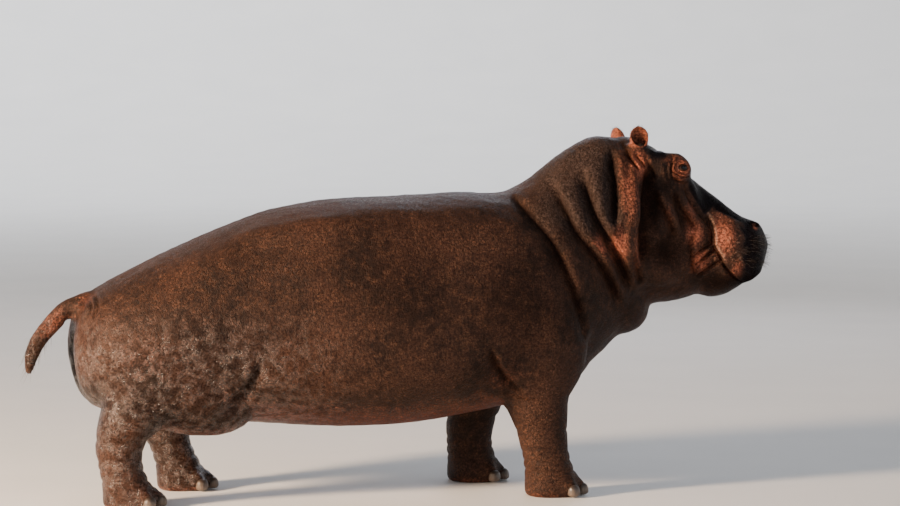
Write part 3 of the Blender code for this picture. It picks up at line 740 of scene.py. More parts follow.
def earFrame(side):
    lean = ears["lean"][side]
    axis = Vector((lean[0], side * lean[1], lean[2])).normalized()
    turn = math.radians(side * ears["turn"][side])
    ahead = Vector((math.cos(turn), math.sin(turn), 0))
    ahead = (ahead - axis * ahead.dot(axis)).normalized()
    facing = Matrix((ahead, axis.cross(ahead), axis)).transposed().to_4x4()
    root = Vector((ears["root"][0], side * ears["root"][1], ears["root"][2]))
    return Matrix.Translation(root) @ facing


def earLocal(points, side):
    return (points - np.array(earFrame(side).translation)) @ np.array(earFrame(side).to_3x3())


def earRim(turn):
    # the rim is low before the opening
    return ears["back"] + (ears["lip"] - ears["back"]) * ((1 + np.cos(turn)) / 2) ** ears["rimPower"]


def earRing(side, share, inner, corners=44):
    # one ring of the cup; the leaf's breadth follows the height
    highs, wides, deeps = zip(*ears["girths"])
    ring = []
    for turn in turnsOf(corners):
        lived = 1 + ears["rimWaves"] * math.sin(3 * turn + 0.6) * share  # an uneven rim
        high = share * earRim(turn) * lived
        wall = inner * ears["wall"] * (1.25 - 0.6 * high / ears["back"])
        wide = max(float(np.interp(high / ears["back"], highs, wides)) - wall, 0.004)
        deep = max(float(np.interp(high / ears["back"], highs, deeps)) - wall, 0.003)
        fold = 1 - 0.22 * inner * math.exp(-((turn - math.pi - 0.45) / 0.28) ** 2)
        ring.append(Vector((deep * fold * math.cos(turn), side * wide * fold * math.sin(turn), high)))
    return ring


def earShape(side, rings):
    shape = objectOf("ear", meshOf(skinned(rings), "ear"))
    shape.data.transform(earFrame(side))
    return shape


def joinEars(skin):
    for side in sideNames:
        hollow = earShape(side, [earRing(side, share, ears["hollowWall"])
                                 for share in ears["hollowShares"]])
        outer = [earRing(side, share, 0) for share in ears["shares"]]
        inner = [earRing(side, share * ears["innerHeight"], 1)
                 for share in reversed(ears["shares"]) if share >= ears["floor"]]
        for kind, shape in (("DIFFERENCE", hollow), ("UNION", earShape(side, outer + inner))):
            reshape(skin, "BOOLEAN", operation=kind, object=shape, solver="EXACT")
            bpy.data.objects.remove(shape)
    points = pointsOf(skin.data)
    weights = np.zeros(len(points))
    for side in sideNames:
        local = earLocal(points, side)
        ring = bell(local[:, 2], *ears["rootRing"])
        ring *= between(np.hypot(local[:, 0], local[:, 1]), ears["rootGirths"])
        weights = np.maximum(weights, ring)
    relax(skin.data, weights, ears["rootPasses"])


def headOrFold(at):
    wanted = at[:, 0] > body["fineFrom"]
    for line, sharp, *rest in foldLines.values():
        near = nearLine(at, line, 4 * sharp)
        gap = lineDistance(at[near], line)[0]
        wanted[near] |= (np.abs(gap) < 3 * sharp) & (np.abs(at[near, 1]) > hide["middleStrip"])
    return wanted


def byEyeOrNostril(at):
    near = [np.linalg.norm(mirrored(at) - where["centre"], axis=1) < where["meshReach"]
            for where in (eyes, nostrils)]
    return near[0] | near[1]


def buildHide():
    skin = meltedFlesh()
    print("flesh melted:", len(skin.data.polygons), "faces")
    refine(skin.data, headOrFold)
    relax(skin.data, smoothStep(*body["relaxFrom"], pointsOf(skin.data)[:, 0]), body["relaxPasses"])
    sculptForms(skin.data)
    refine(skin.data, byEyeOrNostril)
    shapeLids(skin.data)
    shapeNostrils(skin.data)
    points = pointsOf(skin.data)
    points[:, 2] = np.maximum(points[:, 2], 0)  # flat soles
    placePoints(skin.data, points)
    print("folds sculpted:", len(skin.data.polygons), "faces")

    plain = skin.vertex_groups.new(name="plain")
    x, y, z = points.T
    fine = (x > body["fineFrom"]) | (x < body["tailFineTo"]) | (z < body["feetFineTo"])
    outline = ~fine & (z > body["outlineFrom"])
    outline &= np.abs(normalsOf(skin.data)[:, 1]) < body["outlineFacing"]
    for chosen, share in ((fine, body["fineThinned"]), (outline, body["outlineThinned"]),
                          (~fine & ~outline, 1.0)):
        plain.add(np.flatnonzero(chosen).tolist(), share, "REPLACE")
    reshape(skin, "DECIMATE", vertex_group=plain.name, vertex_group_factor=0.25,
            ratio=body["triangles"] / triangleCount(skin.data))
    skin.vertex_groups.clear()
    joinEars(skin)
    skin.data.shade_smooth()
    print("hide built:", triangleCount(skin.data), "triangles")
    return skin


skin = buildHide()


# Where the hide is pink, dark, ashen or creased, as numbers on its points. Some are painted light: painted
# shade in hollows and furrows, painted highlight on rims, and painted sky reflection on the back's top.
# Centre (x, z), half sizes, strength
pinkSpots = [
    ((1.236, 1.480), (0.048, 0.056), 1.00),   # round the eye
    ((1.200, 1.520), (0.060, 0.030), 0.45),   # brow
    ((1.030, 1.500), (0.046, 0.075), 0.90),   # below the ear
    ((0.965, 1.380), (0.058, 0.180), 0.50),   # jowl band
    ((1.000, 1.120), (0.040, 0.110), 0.50),   # band's foot
    ((0.905, 1.140), (0.045, 0.080), 0.85),   # first neck roll
    ((0.812, 1.140), (0.040, 0.055), 0.70),   # second neck roll
    ((1.300, 1.180), (0.050, 0.065), 0.85),   # corner of the mouth
    ((1.330, 1.055), (0.050, 0.060), 0.85),   # corner rolls
    ((1.285, 1.275), (0.040, 0.070), 0.50),   # cheek ridge
    ((1.165, 1.270), (0.028, 0.070), 0.35),   # second ridge
    ((1.430, 1.170), (0.060, 0.105), 0.75),   # flew
    ((1.500, 1.010), (0.040, 0.045), 0.60),   # lip's lower edge
    ((1.602, 1.204), (0.022, 0.022), 0.75),   # nostril
    ((-1.490, 0.885), (0.050, 0.060), 0.42),  # tail root
    ((-1.620, 0.770), (0.110, 0.110), 0.45),  # tail
    ((-1.300, 0.660), (0.200, 0.160), 0.20),  # buttock
    ((0.350, 0.560), (0.150, 0.100), 0.22),   # armpit
    ((-0.880, 0.480), (0.120, 0.090), 0.22),  # flank fold
]
# painted shade: the colour is darkened where hollows, folds and the fore flank lie in shade
paintedShadeSpots = [
    ((1.095, 1.300), (0.042, 0.140), 0.90),   # hollow before the jowl band
    ((1.150, 1.110), (0.120, 0.095), 0.75),   # under the cheek
    ((1.165, 1.390), (0.060, 0.060), 0.50),   # temple
    ((1.245, 1.230), (0.026, 0.060), 0.50),   # between the cheek ridges
    ((1.450, 0.955), (0.140, 0.045), 0.70),   # lower jaw
    ((0.580, 1.080), (0.090, 0.170), 0.50),   # before the shoulder fold
    ((1.000, 1.580), (0.030, 0.030), 0.30),   # behind the ear
    ((0.420, 0.900), (0.330, 0.300), 0.52),   # painted shade of the fore flank
    ((-0.150, 0.980), (0.450, 0.260), 0.38),  # middle of the flank
]
# A region is the product of its ramps. Each gives what is measured, then where the region starts
# and is full, and for some where it stops being full and ends. x, y and z are places with y taken
# outwards on both sides; sideways, upward and forward are the ways that the surface faces.
regions = {
    "cheeks": {"y": (0.04, 0.13), "sideways": (0.10, 0.45)},
    "rear": {"y": (0.24, 0.04)},
    "belly": {"upward": (-0.55, -0.95), "x": (0.9, 0.6)},
    "sole": {"z": (0.05, 0.0)},
    "muzzleFront": {"wandering": (1.485, 1.570)},
    "bridge": {"overBridge": (-0.010, 0.022), "x": (1.25, 1.30)},
    "brow": {"z": (1.505, 1.545), "x": (1.06, 1.10, 1.15, 1.19)},
    "midline": {"y": (0.15, 0.09), "x": (1.05, 1.15), "upward": (-0.1, 0.3)},
    "besideEye": {"y": (0.10, 0.15)},
    # painted shade in the cleft under the tail
    "shadedCleft": {"y": (0.19, 0.08), "forward": (0.1, -0.4), "z": (0.36, 0.56, 0.77, 0.87),
              "x": (-1.605, -1.585)},
    "flewStart": {"x": (1.36, 1.39)},
    "nape": {"x": (0.42, 0.62, 0.90, 0.95), "z": (1.10, 1.28)},
    # up-facing back, greyed as a painted sky reflection
    "backTop": {"upward": (0.75, 0.97)},
    "neck": {"x": (0.45, 0.70, 1.20, 1.34), "z": (0.7, 0.9)},
    "flank": {"sideways": (0.35, 0.8), "z": (0.45, 0.7), "x": (-1.45, -1.1)},
    "splashed": {"z": (0.95, 0.62), "x": (-0.2, -0.9)},
}
# lower edge of the dark bridge of the nose, x and z
bridgeEdge = [(1.25, 1.414), (1.30, 1.344), (1.357, 1.258), (1.405, 1.294), (1.424, 1.275), (1.461, 1.254),
              (1.489, 1.240), (1.55, 1.215)]
spots = {
    "eye": ((1.236, 1.480), (0.050, 0.056)),
    "nostril": ((1.602, 1.204), (0.020, 0.020)),
    "flew": ((1.455, 1.140), (0.085, 0.120)),
}


def spot(points, centre, half):
    return np.exp(-(((points[:, [0, 2]] - centre) / half) ** 2).sum(1))


def earZones(points, normals):
    # how far each point is on an ear, and inside one
    onEar, inEar = np.zeros(len(points)), np.zeros(len(points))
    for side in sideNames:
        local = earLocal(points, side)
        facing = normals @ np.array(earFrame(side).to_3x3())
        high, outward = local[:, 2], local[:, :2]
        around = np.hypot(*outward.T)
        cup = smoothStep(0.012, 0.035, high) * (around < 0.06)
        inward = smoothStep(0.1, -0.5, (outward * facing[:, :2]).sum(1) / (around + 1e-6))
        onEar = np.maximum(onEar, cup)
        inEar = np.maximum(inEar, cup * inward * (1 - 0.75 * smoothStep(0.03, 0.10, high)))
    return onEar, inEar


creaseMarks = {
    "lipRim": (0.009, 0.005),        # place outside the lip's line, and width of its painted highlight
    "lipRimEnds": (0.46, 0.30),      # shares of the line between which the painted highlight fades
    "lidRim": (1.17, 0.07),          # place in opening widths, width of the painted highlight on the lids' rim
    "lidRimStrength": 0.6,
    # painted shade in the lid and bag grooves and just inside the lids' edge
    "lidGroove": 0.75,
    "bagGroove": 0.85,
    "lidEdge": 0.8,
    "furrowFade": 0.2,
    "fullDepth": 0.024,              # a fold this deep has the darkest painted shade in its furrow
}


def creaseZones(points, cheeks):
    # painted highlight on the lip's rim and the lids' rear rim, and painted shade in the furrows along
    # every fold and in the eye's grooves
    marks = creaseMarks
    rim, furrow = np.zeros(len(points)), np.zeros(len(points))
    near = nearLine(points, foldLines["lip"][0], 0.03)
    gap, share = lineDistance(points[near], foldLines["lip"][0])
    rim[near] = bell(gap, *marks["lipRim"]) * smoothStep(*marks["lipRimEnds"], share) * cheeks[near]
    for line, sharp, soft, depth, *rest in foldLines.values():
        near = nearLine(points, line, 4 * soft)
        gap, share = lineDistance(points[near], line)
        width = np.where(gap > 0, 0.8 * sharp, 0.7 * soft)
        strength = endFade(share, marks["furrowFade"]) * min(depth / marks["fullDepth"], 1)
        furrow[near] = np.maximum(furrow[near], bell(gap, 0, width) * strength)
    for side in sideNames:
        near, a, b, h, q = eyePlaces(points, side)
        lidGroove, bagGroove, bag = eyeFolds(a, b, q)
        # the lids' painted highlight falls only on their rear side
        behind = smoothStep(-0.2, 0.5, (-a - 0.3 * b) / (np.hypot(a, b) + 1e-6))
        rim[near] = np.maximum(rim[near], marks["lidRimStrength"] * bell(q, *marks["lidRim"]) * behind)
        furrow[near] = np.maximum.reduce([
            furrow[near], marks["lidGroove"] * lidGroove, marks["bagGroove"] * bagGroove,
            marks["lidEdge"] * smoothStep(1.10, 1.00, q)])
    return rim, furrow


def paintZones(mesh):
    points, normals = pointsOf(mesh), normalsOf(mesh)
    x, y, z = mirrored(points).T
    places = {"x": x, "y": y, "z": z, "forward": normals[:, 0], "sideways": np.abs(normals[:, 1]),
              "upward": normals[:, 2], "wandering": x + 0.02 * hills(points, 0.05, 7),
              "overBridge": z - np.interp(x, *zip(*bridgeEdge))}
    share = {}
    for name, ramps in regions.items():
        share[name] = np.ones(len(points))
        for key, edges in ramps.items():
            share[name] *= smoothStep(*edges[:2], places[key])
            if len(edges) > 2:
                share[name] *= smoothStep(edges[3], edges[2], places[key])
    mark = {name: spot(points, *where) for name, where in spots.items()}
    onEar, inEar = earZones(points, normals)
    pink, deep = np.zeros(len(points)), np.zeros(len(points))
    shown = np.where(x > hide["rumpFrom"], share["cheeks"], share["rear"])
    for centre, half, strength in pinkSpots:
        pink = np.maximum(pink, strength * spot(points, centre, half) * shown)
    for centre, half, strength in paintedShadeSpots:
        deep = np.maximum(deep, strength * spot(points, centre, half))
    # near-black wet skin on the muzzle's front, bridge and brow; on the front it is partly painted shade
    dark = np.maximum.reduce([share["muzzleFront"], share["bridge"], 0.8 * share["brow"],
                              0.9 * share["midline"]])
    dark *= 1 - 0.95 * np.maximum(mark["eye"] * share["besideEye"], 0.8 * mark["nostril"] * (y > 0.09))
    dark *= 1 - onEar
    rim, furrow = creaseZones(points, share["cheeks"])
    zones = {
        "pink": np.maximum.reduce([pink, onEar * (0.80 - 0.25 * inEar), 0.4 * share["belly"] * (z > 0.2),
                                   0.35 * share["sole"]]),
        "dark": dark,
        # painted shade in the hollows, inside the ears and in the cleft under the tail
        "deep": np.maximum.reduce([deep * (y > 0.06) * (1 - onEar), 0.5 * inEar,
                                   0.95 * share["shadedCleft"] * (x < -1.3)]),
        "flew": mark["flew"] * share["flewStart"],
        # painted highlight on the lip's rim and the lids' rear rim
        "rim": rim,
        # grey skin on the nape, and a painted sky reflection on the up-facing back
        "ashAndSkyReflection": np.maximum(share["nape"], 0.6 * share["backTop"] * (z > 0.8)),
        # painted shade in the fold furrows and eye grooves
        "furrow": furrow,
        "neck": np.maximum(share["neck"], 0.42 * share["flank"] * (x < 0.9)),
        "wet": np.maximum(share["splashed"], 0.8 * dark),
    }
    for name, values in zones.items():
        storeValues(mesh, name, np.clip(values, 0, 1))
    return list(zones)


zoneNames = paintZones(skin.data)
skin.data.transform(toFrame)


def addNode(tree, kind, inputs=None, out=0, **settings):
    # one node with its settings; inputs take values, hex colours or the links that come in, and one
    # output is given back. Shader nodes go by their short names.
    node = tree.nodes.new(kind if "Node" in kind else "ShaderNode" + kind)
    for name, value in settings.items():
        setattr(node, name, value)
    for slot, value in (inputs or {}).items():
        socket = node.inputs[slot]
        if isinstance(value, bpy.types.NodeSocket):
            tree.links.new(value, socket)
        else:
            socket.default_value = linear(value) if socket.type == "RGBA" else value
    return node.outputs[out] if node.outputs else node


def newMaterial(name):
    material = bpy.data.materials.new(name)
    material.use_nodes = True
    material.node_tree.nodes.clear()
    return material, material.node_tree


hideLook = {
    "dryUmber": "1f140f",
    "ior": 1.42,
    "wander": (30, 0.012),          # per metre, and how far cracks and streaks wander
    "noises": {                     # patches per metre, detail, roughness
        "blotch": (3.0, 5, 0.60),
        "mottle": (24, 4, 0.62),    # 40 mm across
        "speckle": (95, 3, 0.65),   # 10 mm
        "grain": (520, 2, 0.55),
    },
    "cells": {                      # per metre
        "edges": ("DISTANCE_TO_EDGE", 150),   # cracked skin cells about 7 mm across
        "plates": ("DISTANCE_TO_EDGE", 58),   # creases between plates 17 mm across
        "pores": ("F1", 48),                  # pale pores on the lips, 20 mm apart
    },
    "streaks": (75, 30, 8),         # per metre along x, y and z, so they run down the body
}
# New layer: how it is made, and from which layers and numbers. A range gives the layer, its low and
# high, and what these become; the rest are sums and products.
hideLayers = {
    "crack": ("range", "edges", 0.0, 0.18, 1.0, 0.0),
    "raised": ("range", "edges", 0.0, 0.30, 0.0, 1.0),
    "plateLine": ("range", "plates", 0.0, 0.16, 1.0, 0.0),
    "plated": ("range", "mottle", 0.36, 0.60, 0.0, 1.0),
    "crease": ("MULTIPLY", "plateLine", "plated"),
    "poreDot": ("range", "pores", 0.16, 0.34, 1.0, 0.0),
    "pore": ("MULTIPLY", "poreDot", "flew"),
    "wrinkle": ("MULTIPLY", "streaks", "neck"),
    "streakLine": ("range", "streaks", 0.52, 0.36, 0.0, 1.0),
    "streak": ("MULTIPLY", "streakLine", "neck"),
    "brownShare": ("range", "blotch", 0.34, 0.66, 0.0, 1.0),
    "rubbedShare": ("range", "mottle", 0.40, 0.75, 0.0, 0.50),
    "ashPatch": ("range", "mottle", 0.20, 0.60, 0.45, 0.92),
    "ashAndSkyShare": ("MULTIPLY", "ashPatch", "ashAndSkyReflection"),
    "pinkMottle": ("MULTIPLY_ADD", "mottle", 0.55, "pink"),
    "pinkSpeckle": ("MULTIPLY_ADD", "speckle", 0.40, "pinkMottle"),
    "fleshShare": ("range", "pinkSpeckle", 0.575, 1.475, 0.0, 0.90),
    "palePore": ("MULTIPLY", "pore", 0.20),
    # painted highlight on the lip and lid rims, mixed with the pale pores
    "rimHighlight": ("MULTIPLY", "rim", 0.45),
    "poreAndRimHighlightShare": ("MAXIMUM", "palePore", "rimHighlight"),
    # near-black muzzle, partly painted shade
    "darkMottle": ("MULTIPLY_ADD", "mottle", 0.50, "dark"),
    "darkSpeckle": ("MULTIPLY_ADD", "speckle", 0.50, "darkMottle"),
    "blackAndShadeShare": ("range", "darkSpeckle", 0.72, 1.22, 0.0, 0.96),
    "speckleTone": ("range", "speckle", 0.28, 0.72, 0.34, 1.72),
    "cellTone": ("range", "cellNumber", 0.0, 1.0, 0.78, 1.22),
    # painted shade: the colour darkens to a sixth in the deep zone
    "paintedShadeTone": ("range", "deep", 0.0, 1.0, 1.0, 0.16),
    "crackShade": ("MULTIPLY", "crack", 0.28),
    "streakShade": ("MULTIPLY", "streak", 0.55),
    "creaseShade": ("MULTIPLY", "crease", 0.60),
    # painted shade in the fold furrows
    "furrowShade": ("MULTIPLY", "furrow", 0.85),
    "lineShade": ("MAXIMUM", "crackShade", "streakShade"),
    "foldShade": ("MAXIMUM", "creaseShade", "furrowShade"),
    "shade": ("MAXIMUM", "lineShade", "foldShade"),
    "satin": ("range", "speckle", 0.30, 0.70, 0.34, 0.60),
    "crackedSatin": ("MULTIPLY_ADD", "crack", 0.10, "satin"),
    "roughness": ("MULTIPLY_ADD", "wet", -0.20, "crackedSatin"),
    "openSheen": ("range", "deep", 0.0, 0.8, 0.13, 0.05),
    "furrowSheen": ("range", "furrow", 0.0, 0.8, 1.0, 0.30),
    "darkSheen": ("range", "dark", 0.3, 1.0, 1.0, 0.30),
    "ashAndSkySheen": ("range", "ashAndSkyReflection", 0.0, 0.6, 1.0, 0.40),
    "foldedSheen": ("MULTIPLY", "openSheen", "furrowSheen"),
    "patchySheen": ("MULTIPLY", "darkSheen", "ashAndSkySheen"),
    "drySheen": ("MULTIPLY", "foldedSheen", "patchySheen"),
    "soaked": ("SUBTRACT", "wet", "dark"),
    "filmed": ("MAXIMUM", "soaked", 0.0),
    "filmPatch": ("range", "mottle", 0.42, 0.62, 0.0, 1.0),
    "film": ("MULTIPLY", "filmed", "filmPatch"),
    "sheen": ("MULTIPLY_ADD", "film", 0.55, "drySheen"),
}
# laid over the umber in turn: share, colour or tone, how
hideCoats = [
    ("brownShare", "39251c", "MIX"),    # warm brown
    ("rubbedShare", "533829", "MIX"),   # rubbed brown
    ("ashAndSkyShare", "372d29", "MIX"),      # ash brown; on the up-facing back it is a painted sky reflection
    ("fleshShare", "9a5842", "MIX"),    # flesh where the skin is thin
    ("poreAndRimHighlightShare", "c99a80", "MIX"),     # pale pores, and painted highlight on the lip and lid rims
    ("blackAndShadeShare", "09080c", "MIX"),    # wet black skin, partly painted shade on the muzzle's front
    (1.0, "speckleTone", "MULTIPLY"),
    (1.0, "cellTone", "MULTIPLY"),
    # painted shade
    (1.0, "paintedShadeTone", "MULTIPLY"),
    ("shade", "120906", "MIX"),         # brown in the cracks and plate lines, and painted shade in the fold furrows
]
# height of each layer in metres, finer ones drawn about as coarse as they show
hideRelief = {"raised": 0.0010, "grain": 0.0004, "crease": -0.0016, "speckle": 0.0021, "wrinkle": 0.0050,
              "mottle": 0.0030, "pore": 0.0012}


def hippoHide():
    # Bare wet skin, 5 cm thick: umber over grey, finely cracked, pink where it is thin, near
    # black and glossy on the muzzle, where it is partly painted shade; a film of water gives it
    # small sharp glints. Painted shade darkens the hollows, fold furrows and fore flank, a painted
    # highlight paints the lip and lid rims, and a painted sky reflection greys the back's top.
    look = hideLook
    material, tree = newMaterial("wet cracked hide")
    place = addNode(tree, "TexCoord", out="Object")
    perMetre, reach = look["wander"]
    bent = addNode(tree, "TexNoise", {"Vector": place, "Scale": perMetre, "Detail": 2}, "Color")
    bent = addNode(tree, "VectorMath", {0: bent, 1: (reach, reach, reach), 2: place},
                   operation="MULTIPLY_ADD")
    stretched = addNode(tree, "Mapping", {"Vector": bent, "Scale": look["streaks"]})
    cells = addNode(tree, "TexVoronoi", {"Vector": bent, "Scale": look["cells"]["edges"][1]}, "Color")

    layer = {name: addNode(tree, "Attribute", out="Fac", attribute_name=name) for name in zoneNames}
    layer["cellNumber"] = addNode(tree, "SeparateColor", {"Color": cells})
    noises = {name: (place, *values) for name, values in look["noises"].items()}
    noises["streaks"] = (stretched, 1.0, 4, 0.6)
    for name, (at, scale, detail, rough) in noises.items():
        layer[name] = addNode(tree, "TexNoise", {"Vector": at, "Scale": scale, "Detail": detail,
                                                 "Roughness": rough}, "Fac")
    for name, (feature, scale) in look["cells"].items():
        layer[name] = addNode(tree, "TexVoronoi", {"Vector": bent, "Scale": scale}, "Distance",
                              feature=feature)
    for name, (how, *given) in hideLayers.items():
        slots = {slot: layer.get(value, value) for slot, value in enumerate(given)}
        if how == "range":
            layer[name] = addNode(tree, "MapRange", slots, interpolation_type="SMOOTHSTEP")
        else:
            layer[name] = addNode(tree, "Math", slots, operation=how)

    colour = look["dryUmber"]
    for share, over, how in hideCoats:
        colour = addNode(tree, "Mix", {0: layer.get(share, share), 6: colour, 7: layer.get(over, over)}, 2,
                         data_type="RGBA", blend_type=how)
    height = 0.0
    for name, depth in hideRelief.items():
        height = addNode(tree, "Math", {0: layer[name], 1: depth, 2: height}, operation="MULTIPLY_ADD")
    shader = addNode(tree, "BsdfPrincipled", {
        "Base Color": colour, "Roughness": layer["roughness"], "Specular IOR Level": layer["sheen"],
        "IOR": look["ior"], "Normal": addNode(tree, "Bump", {"Height": height, "Distance": 1.0})})
    addNode(tree, "OutputMaterial", {"Surface": shader})
    return material


fleshNodes = ["trunk", "neck", "head", "jaw", "tail", "foreleg_right", "foreleg_left", "hindleg_right",
              "hindleg_left", "ear_right", "ear_left"]
skin.data.materials.clear()
skin.data.materials.append(hippoHide())
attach(skin, "root")
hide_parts(*fleshNodes)
print("hide painted")

eyeLook = {
    # share of the way from the pupil's middle to the ball's side, and the colour there
    "rings": [(0.0, "020202"), (0.26, "020202"), (0.30, "170c07"), (0.50, "24140b"), (0.60, "1a0e08"),
              (0.66, "0e0705"), (0.76, "3a2820"), (1.0, "5c4236")],
    "fibres": 40,
    "fibreStrength": 0.45,
    "filmPerMetre": 260,
    "filmDepth": 0.00008,
    "roughness": (0.04, 0.10),
    "ior": 1.38,
    "specular": 0.32,
    "corneaRise": 0.05,
    "corneaWidth": 0.5,
    "pupilShape": (0.80, 1.15),  # wider than high
    "pupilEdge": (0.30, 0.45),   # the rings turn round between these angles
    "ringShare": 0.8,
}


def wetEye():
    # A living eyeball: dark amber-brown iris under a clear wet cornea, so a deep tone with one
    # sharp glint.
    look = eyeLook
    material, tree = newMaterial("wet eyeball")
    gaze = addNode(tree, "Attribute", out="Fac", attribute_name="gaze")
    spokes = addNode(tree, "Attribute", out="Fac", attribute_name="spokes")
    fibres = addNode(tree, "TexNoise", {"W": spokes, "Scale": look["fibres"], "Detail": 3},
                     noise_dimensions="1D")
    rings = addNode(tree, "ValToRGB", {0: gaze})
    elements = rings.node.color_ramp.elements
    while len(elements) < len(look["rings"]):
        elements.new(0.5)
    for element, (at, code) in zip(elements, look["rings"]):
        element.position = at
        element.color = linear(code)
    colour = addNode(tree, "Mix", {0: look["fibreStrength"], 6: rings, 7: fibres}, 2, data_type="RGBA",
                     blend_type="MULTIPLY")
    place = addNode(tree, "TexCoord", out="Object")
    film = addNode(tree, "TexNoise", {"Vector": place, "Scale": look["filmPerMetre"], "Detail": 2}, "Fac")
    low, high = look["roughness"]
    shader = addNode(tree, "BsdfPrincipled", {
        "Base Color": colour, "Roughness": addNode(tree, "MapRange", {0: film, 3: low, 4: high}),
        "Normal": addNode(tree, "Bump", {"Height": film, "Distance": look["filmDepth"]}),
        "IOR": look["ior"], "Specular IOR Level": look["specular"]})
    addNode(tree, "OutputMaterial", {"Surface": shader})
    return material


def eyeball(side, material):
    middle, ahead, up, out = sideFrame(eyes, side)
    bm = bmesh.new()
    bmesh.ops.create_uvsphere(bm, u_segments=64, v_segments=48, radius=eyes["radius"])
    mesh = meshOf(bm, "eyeball")
    local = pointsOf(mesh)
    unit = local / eyes["radius"]
    turned = np.arccos(np.clip(unit[:, 2], -1, 1))
    local *= (1 + eyeLook["corneaRise"] * bell(turned, 0, eyeLook["corneaWidth"]))[:, None]
    placePoints(mesh, middle + local @ np.stack((ahead, up, out)) - (bodyMiddle, 0, 0))
    if np.cross(ahead, up) @ out < 0:
        mesh.flip_normals()
    wide, high = eyeLook["pupilShape"]
    flatPupil = np.hypot(unit[:, 0] * wide, unit[:, 1] * high)
    inPupil = 1 - smoothStep(*eyeLook["pupilEdge"], turned)
    gaze = (turned * (1 - inPupil) + flatPupil * inPupil) * eyeLook["ringShare"]
    storeValues(mesh, "gaze", np.clip(gaze, 0, 1))
    storeValues(mesh, "spokes", np.arctan2(unit[:, 1], unit[:, 0]) / math.pi)
    mesh.shade_smooth()
    mesh.materials.append(material)
    ball = objectOf("eyeball_" + sideNames[side], mesh)
    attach(ball, "root")
    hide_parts("eye_" + sideNames[side])


eyeWet = wetEye()
for side in sideNames:
    eyeball(side, eyeWet)
print("eyes set")

nails = {
    "size": (0.026, 0.031, 0.028),
    "reach": 0.036,
    "height": 0.032,
    "ridges": 30.8,
    "ridgeDepth": 0.012,
    "lean": 0.14,
    "squareness": (0.80, 0.62, 0.90),  # across, below and above
    "pale": "6f6053",
    "dark": "32271f",
    "fadeHeights": (0.004, 0.05),
    "linesPerMetre": (260, 260, 40),
    "lineDepth": 0.0012,
}


def nailHorn():
    # Worn keratin: a grey-brown hoof nail with growth lines along it, matt, paler and chipped at
    # its lower edge.
    material, tree = newMaterial("worn nail horn")
    place = addNode(tree, "TexCoord", out="Object")
    stretched = addNode(tree, "Mapping", {"Vector": place, "Scale": nails["linesPerMetre"]})
    lines = addNode(tree, "TexNoise", {"Vector": stretched, "Scale": 1.0, "Detail": 3}, "Fac")
    high = addNode(tree, "SeparateXYZ", {0: place}, "Z")
    low, full = nails["fadeHeights"]
    worn = addNode(tree, "MapRange", {0: high, 1: low, 2: full})
    colour = addNode(tree, "Mix", {0: worn, 6: nails["pale"], 7: nails["dark"]}, 2, data_type="RGBA")
    tone, rough = [addNode(tree, "MapRange", {0: lines, 1: 0.3, 2: 0.7, 3: least, 4: most})
                   for least, most in ((0.55, 1.25), (0.35, 0.60))]
    toned = addNode(tree, "Mix", {0: 1.0, 6: colour, 7: tone}, 2, data_type="RGBA", blend_type="MULTIPLY")
    shader = addNode(tree, "BsdfPrincipled", {
        "Base Color": toned, "Roughness": rough, "IOR": 1.54,
        "Normal": addNode(tree, "Bump", {"Height": lines, "Distance": nails["lineDepth"]})})
    addNode(tree, "OutputMaterial", {"Surface": shader})
    return material


def footNails(x, y):
    across, below, above = nails["squareness"]
    for toeX, toeY, angle in toePlaces(x, y):
        turn = math.radians(angle)
        place = Vector((toeX + nails["reach"] * math.cos(turn), toeY + nails["reach"] * math.sin(turn),
                        nails["height"]))
        ball = bmesh.new()
        bmesh.ops.create_uvsphere(ball, u_segments=48, v_segments=24, radius=1)
        for vert in ball.verts:
            a, b, c = vert.co
            b = signedPower(b, across)
            c = signedPower(c, below if c < 0 else above)
            a = a * (1 - nails["lean"] * c) * (1 + nails["ridgeDepth"] * math.cos(nails["ridges"] * b))
            vert.co = (a * nails["size"][0], b * nails["size"][1], c * nails["size"][2])
        ball.transform(Matrix.Translation(place) @ Matrix.Rotation(turn, 4, "Z"))
        yield ball


horn = nailHorn()
for leg, (rows, x, y, lean) in legs.items():
    foot = objectOf("nails_" + leg, joinShapes(footNails(x, y), "nails"))
    foot.data.transform(toFrame)
    foot.data.shade_smooth()
    foot.data.materials.append(horn)
    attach(foot, "root")
    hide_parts(*[f"nail_{leg}_{number}" for number in range(1, 5)])
print("nails set")

# a geometry-node tree sets one bent cone on each root, and the result is kept as a mesh
bristles = {
    "Sides": 5,
    "Steps": 4,
    "Tip": 0.18,       # the tip's girth as a share of the root's
    "Bend": 0.16,
    "root": "120c09",
    "tip": "41311f",
    "fleckPerMetre": 900,
    "fleckDepth": 0.0002,
    "patch": 0.003,    # size of each one's patch in OFBake
}


def bristleHorn():
    # Stiff hair: dark brown keratin with paler, sun-worn tips, satin gloss.
    material, tree = newMaterial("stiff bristle keratin")
    along = addNode(tree, "Attribute", out="Fac", attribute_name="along")
    place = addNode(tree, "TexCoord", out="Object")
    fleck = addNode(tree, "TexNoise", {"Vector": place, "Scale": bristles["fleckPerMetre"],
                                       "Detail": 1}, "Fac")
    shader = addNode(tree, "BsdfPrincipled", {
        "Base Color": addNode(tree, "Mix", {0: along, 6: bristles["root"], 7: bristles["tip"]}, 2,
                              data_type="RGBA"),
        "Roughness": addNode(tree, "MapRange", {0: fleck, 3: 0.32, 4: 0.55}), "IOR": 1.54,
        "Normal": addNode(tree, "Bump", {"Height": fleck, "Distance": bristles["fleckDepth"]})})
    addNode(tree, "OutputMaterial", {"Surface": shader})
    return material


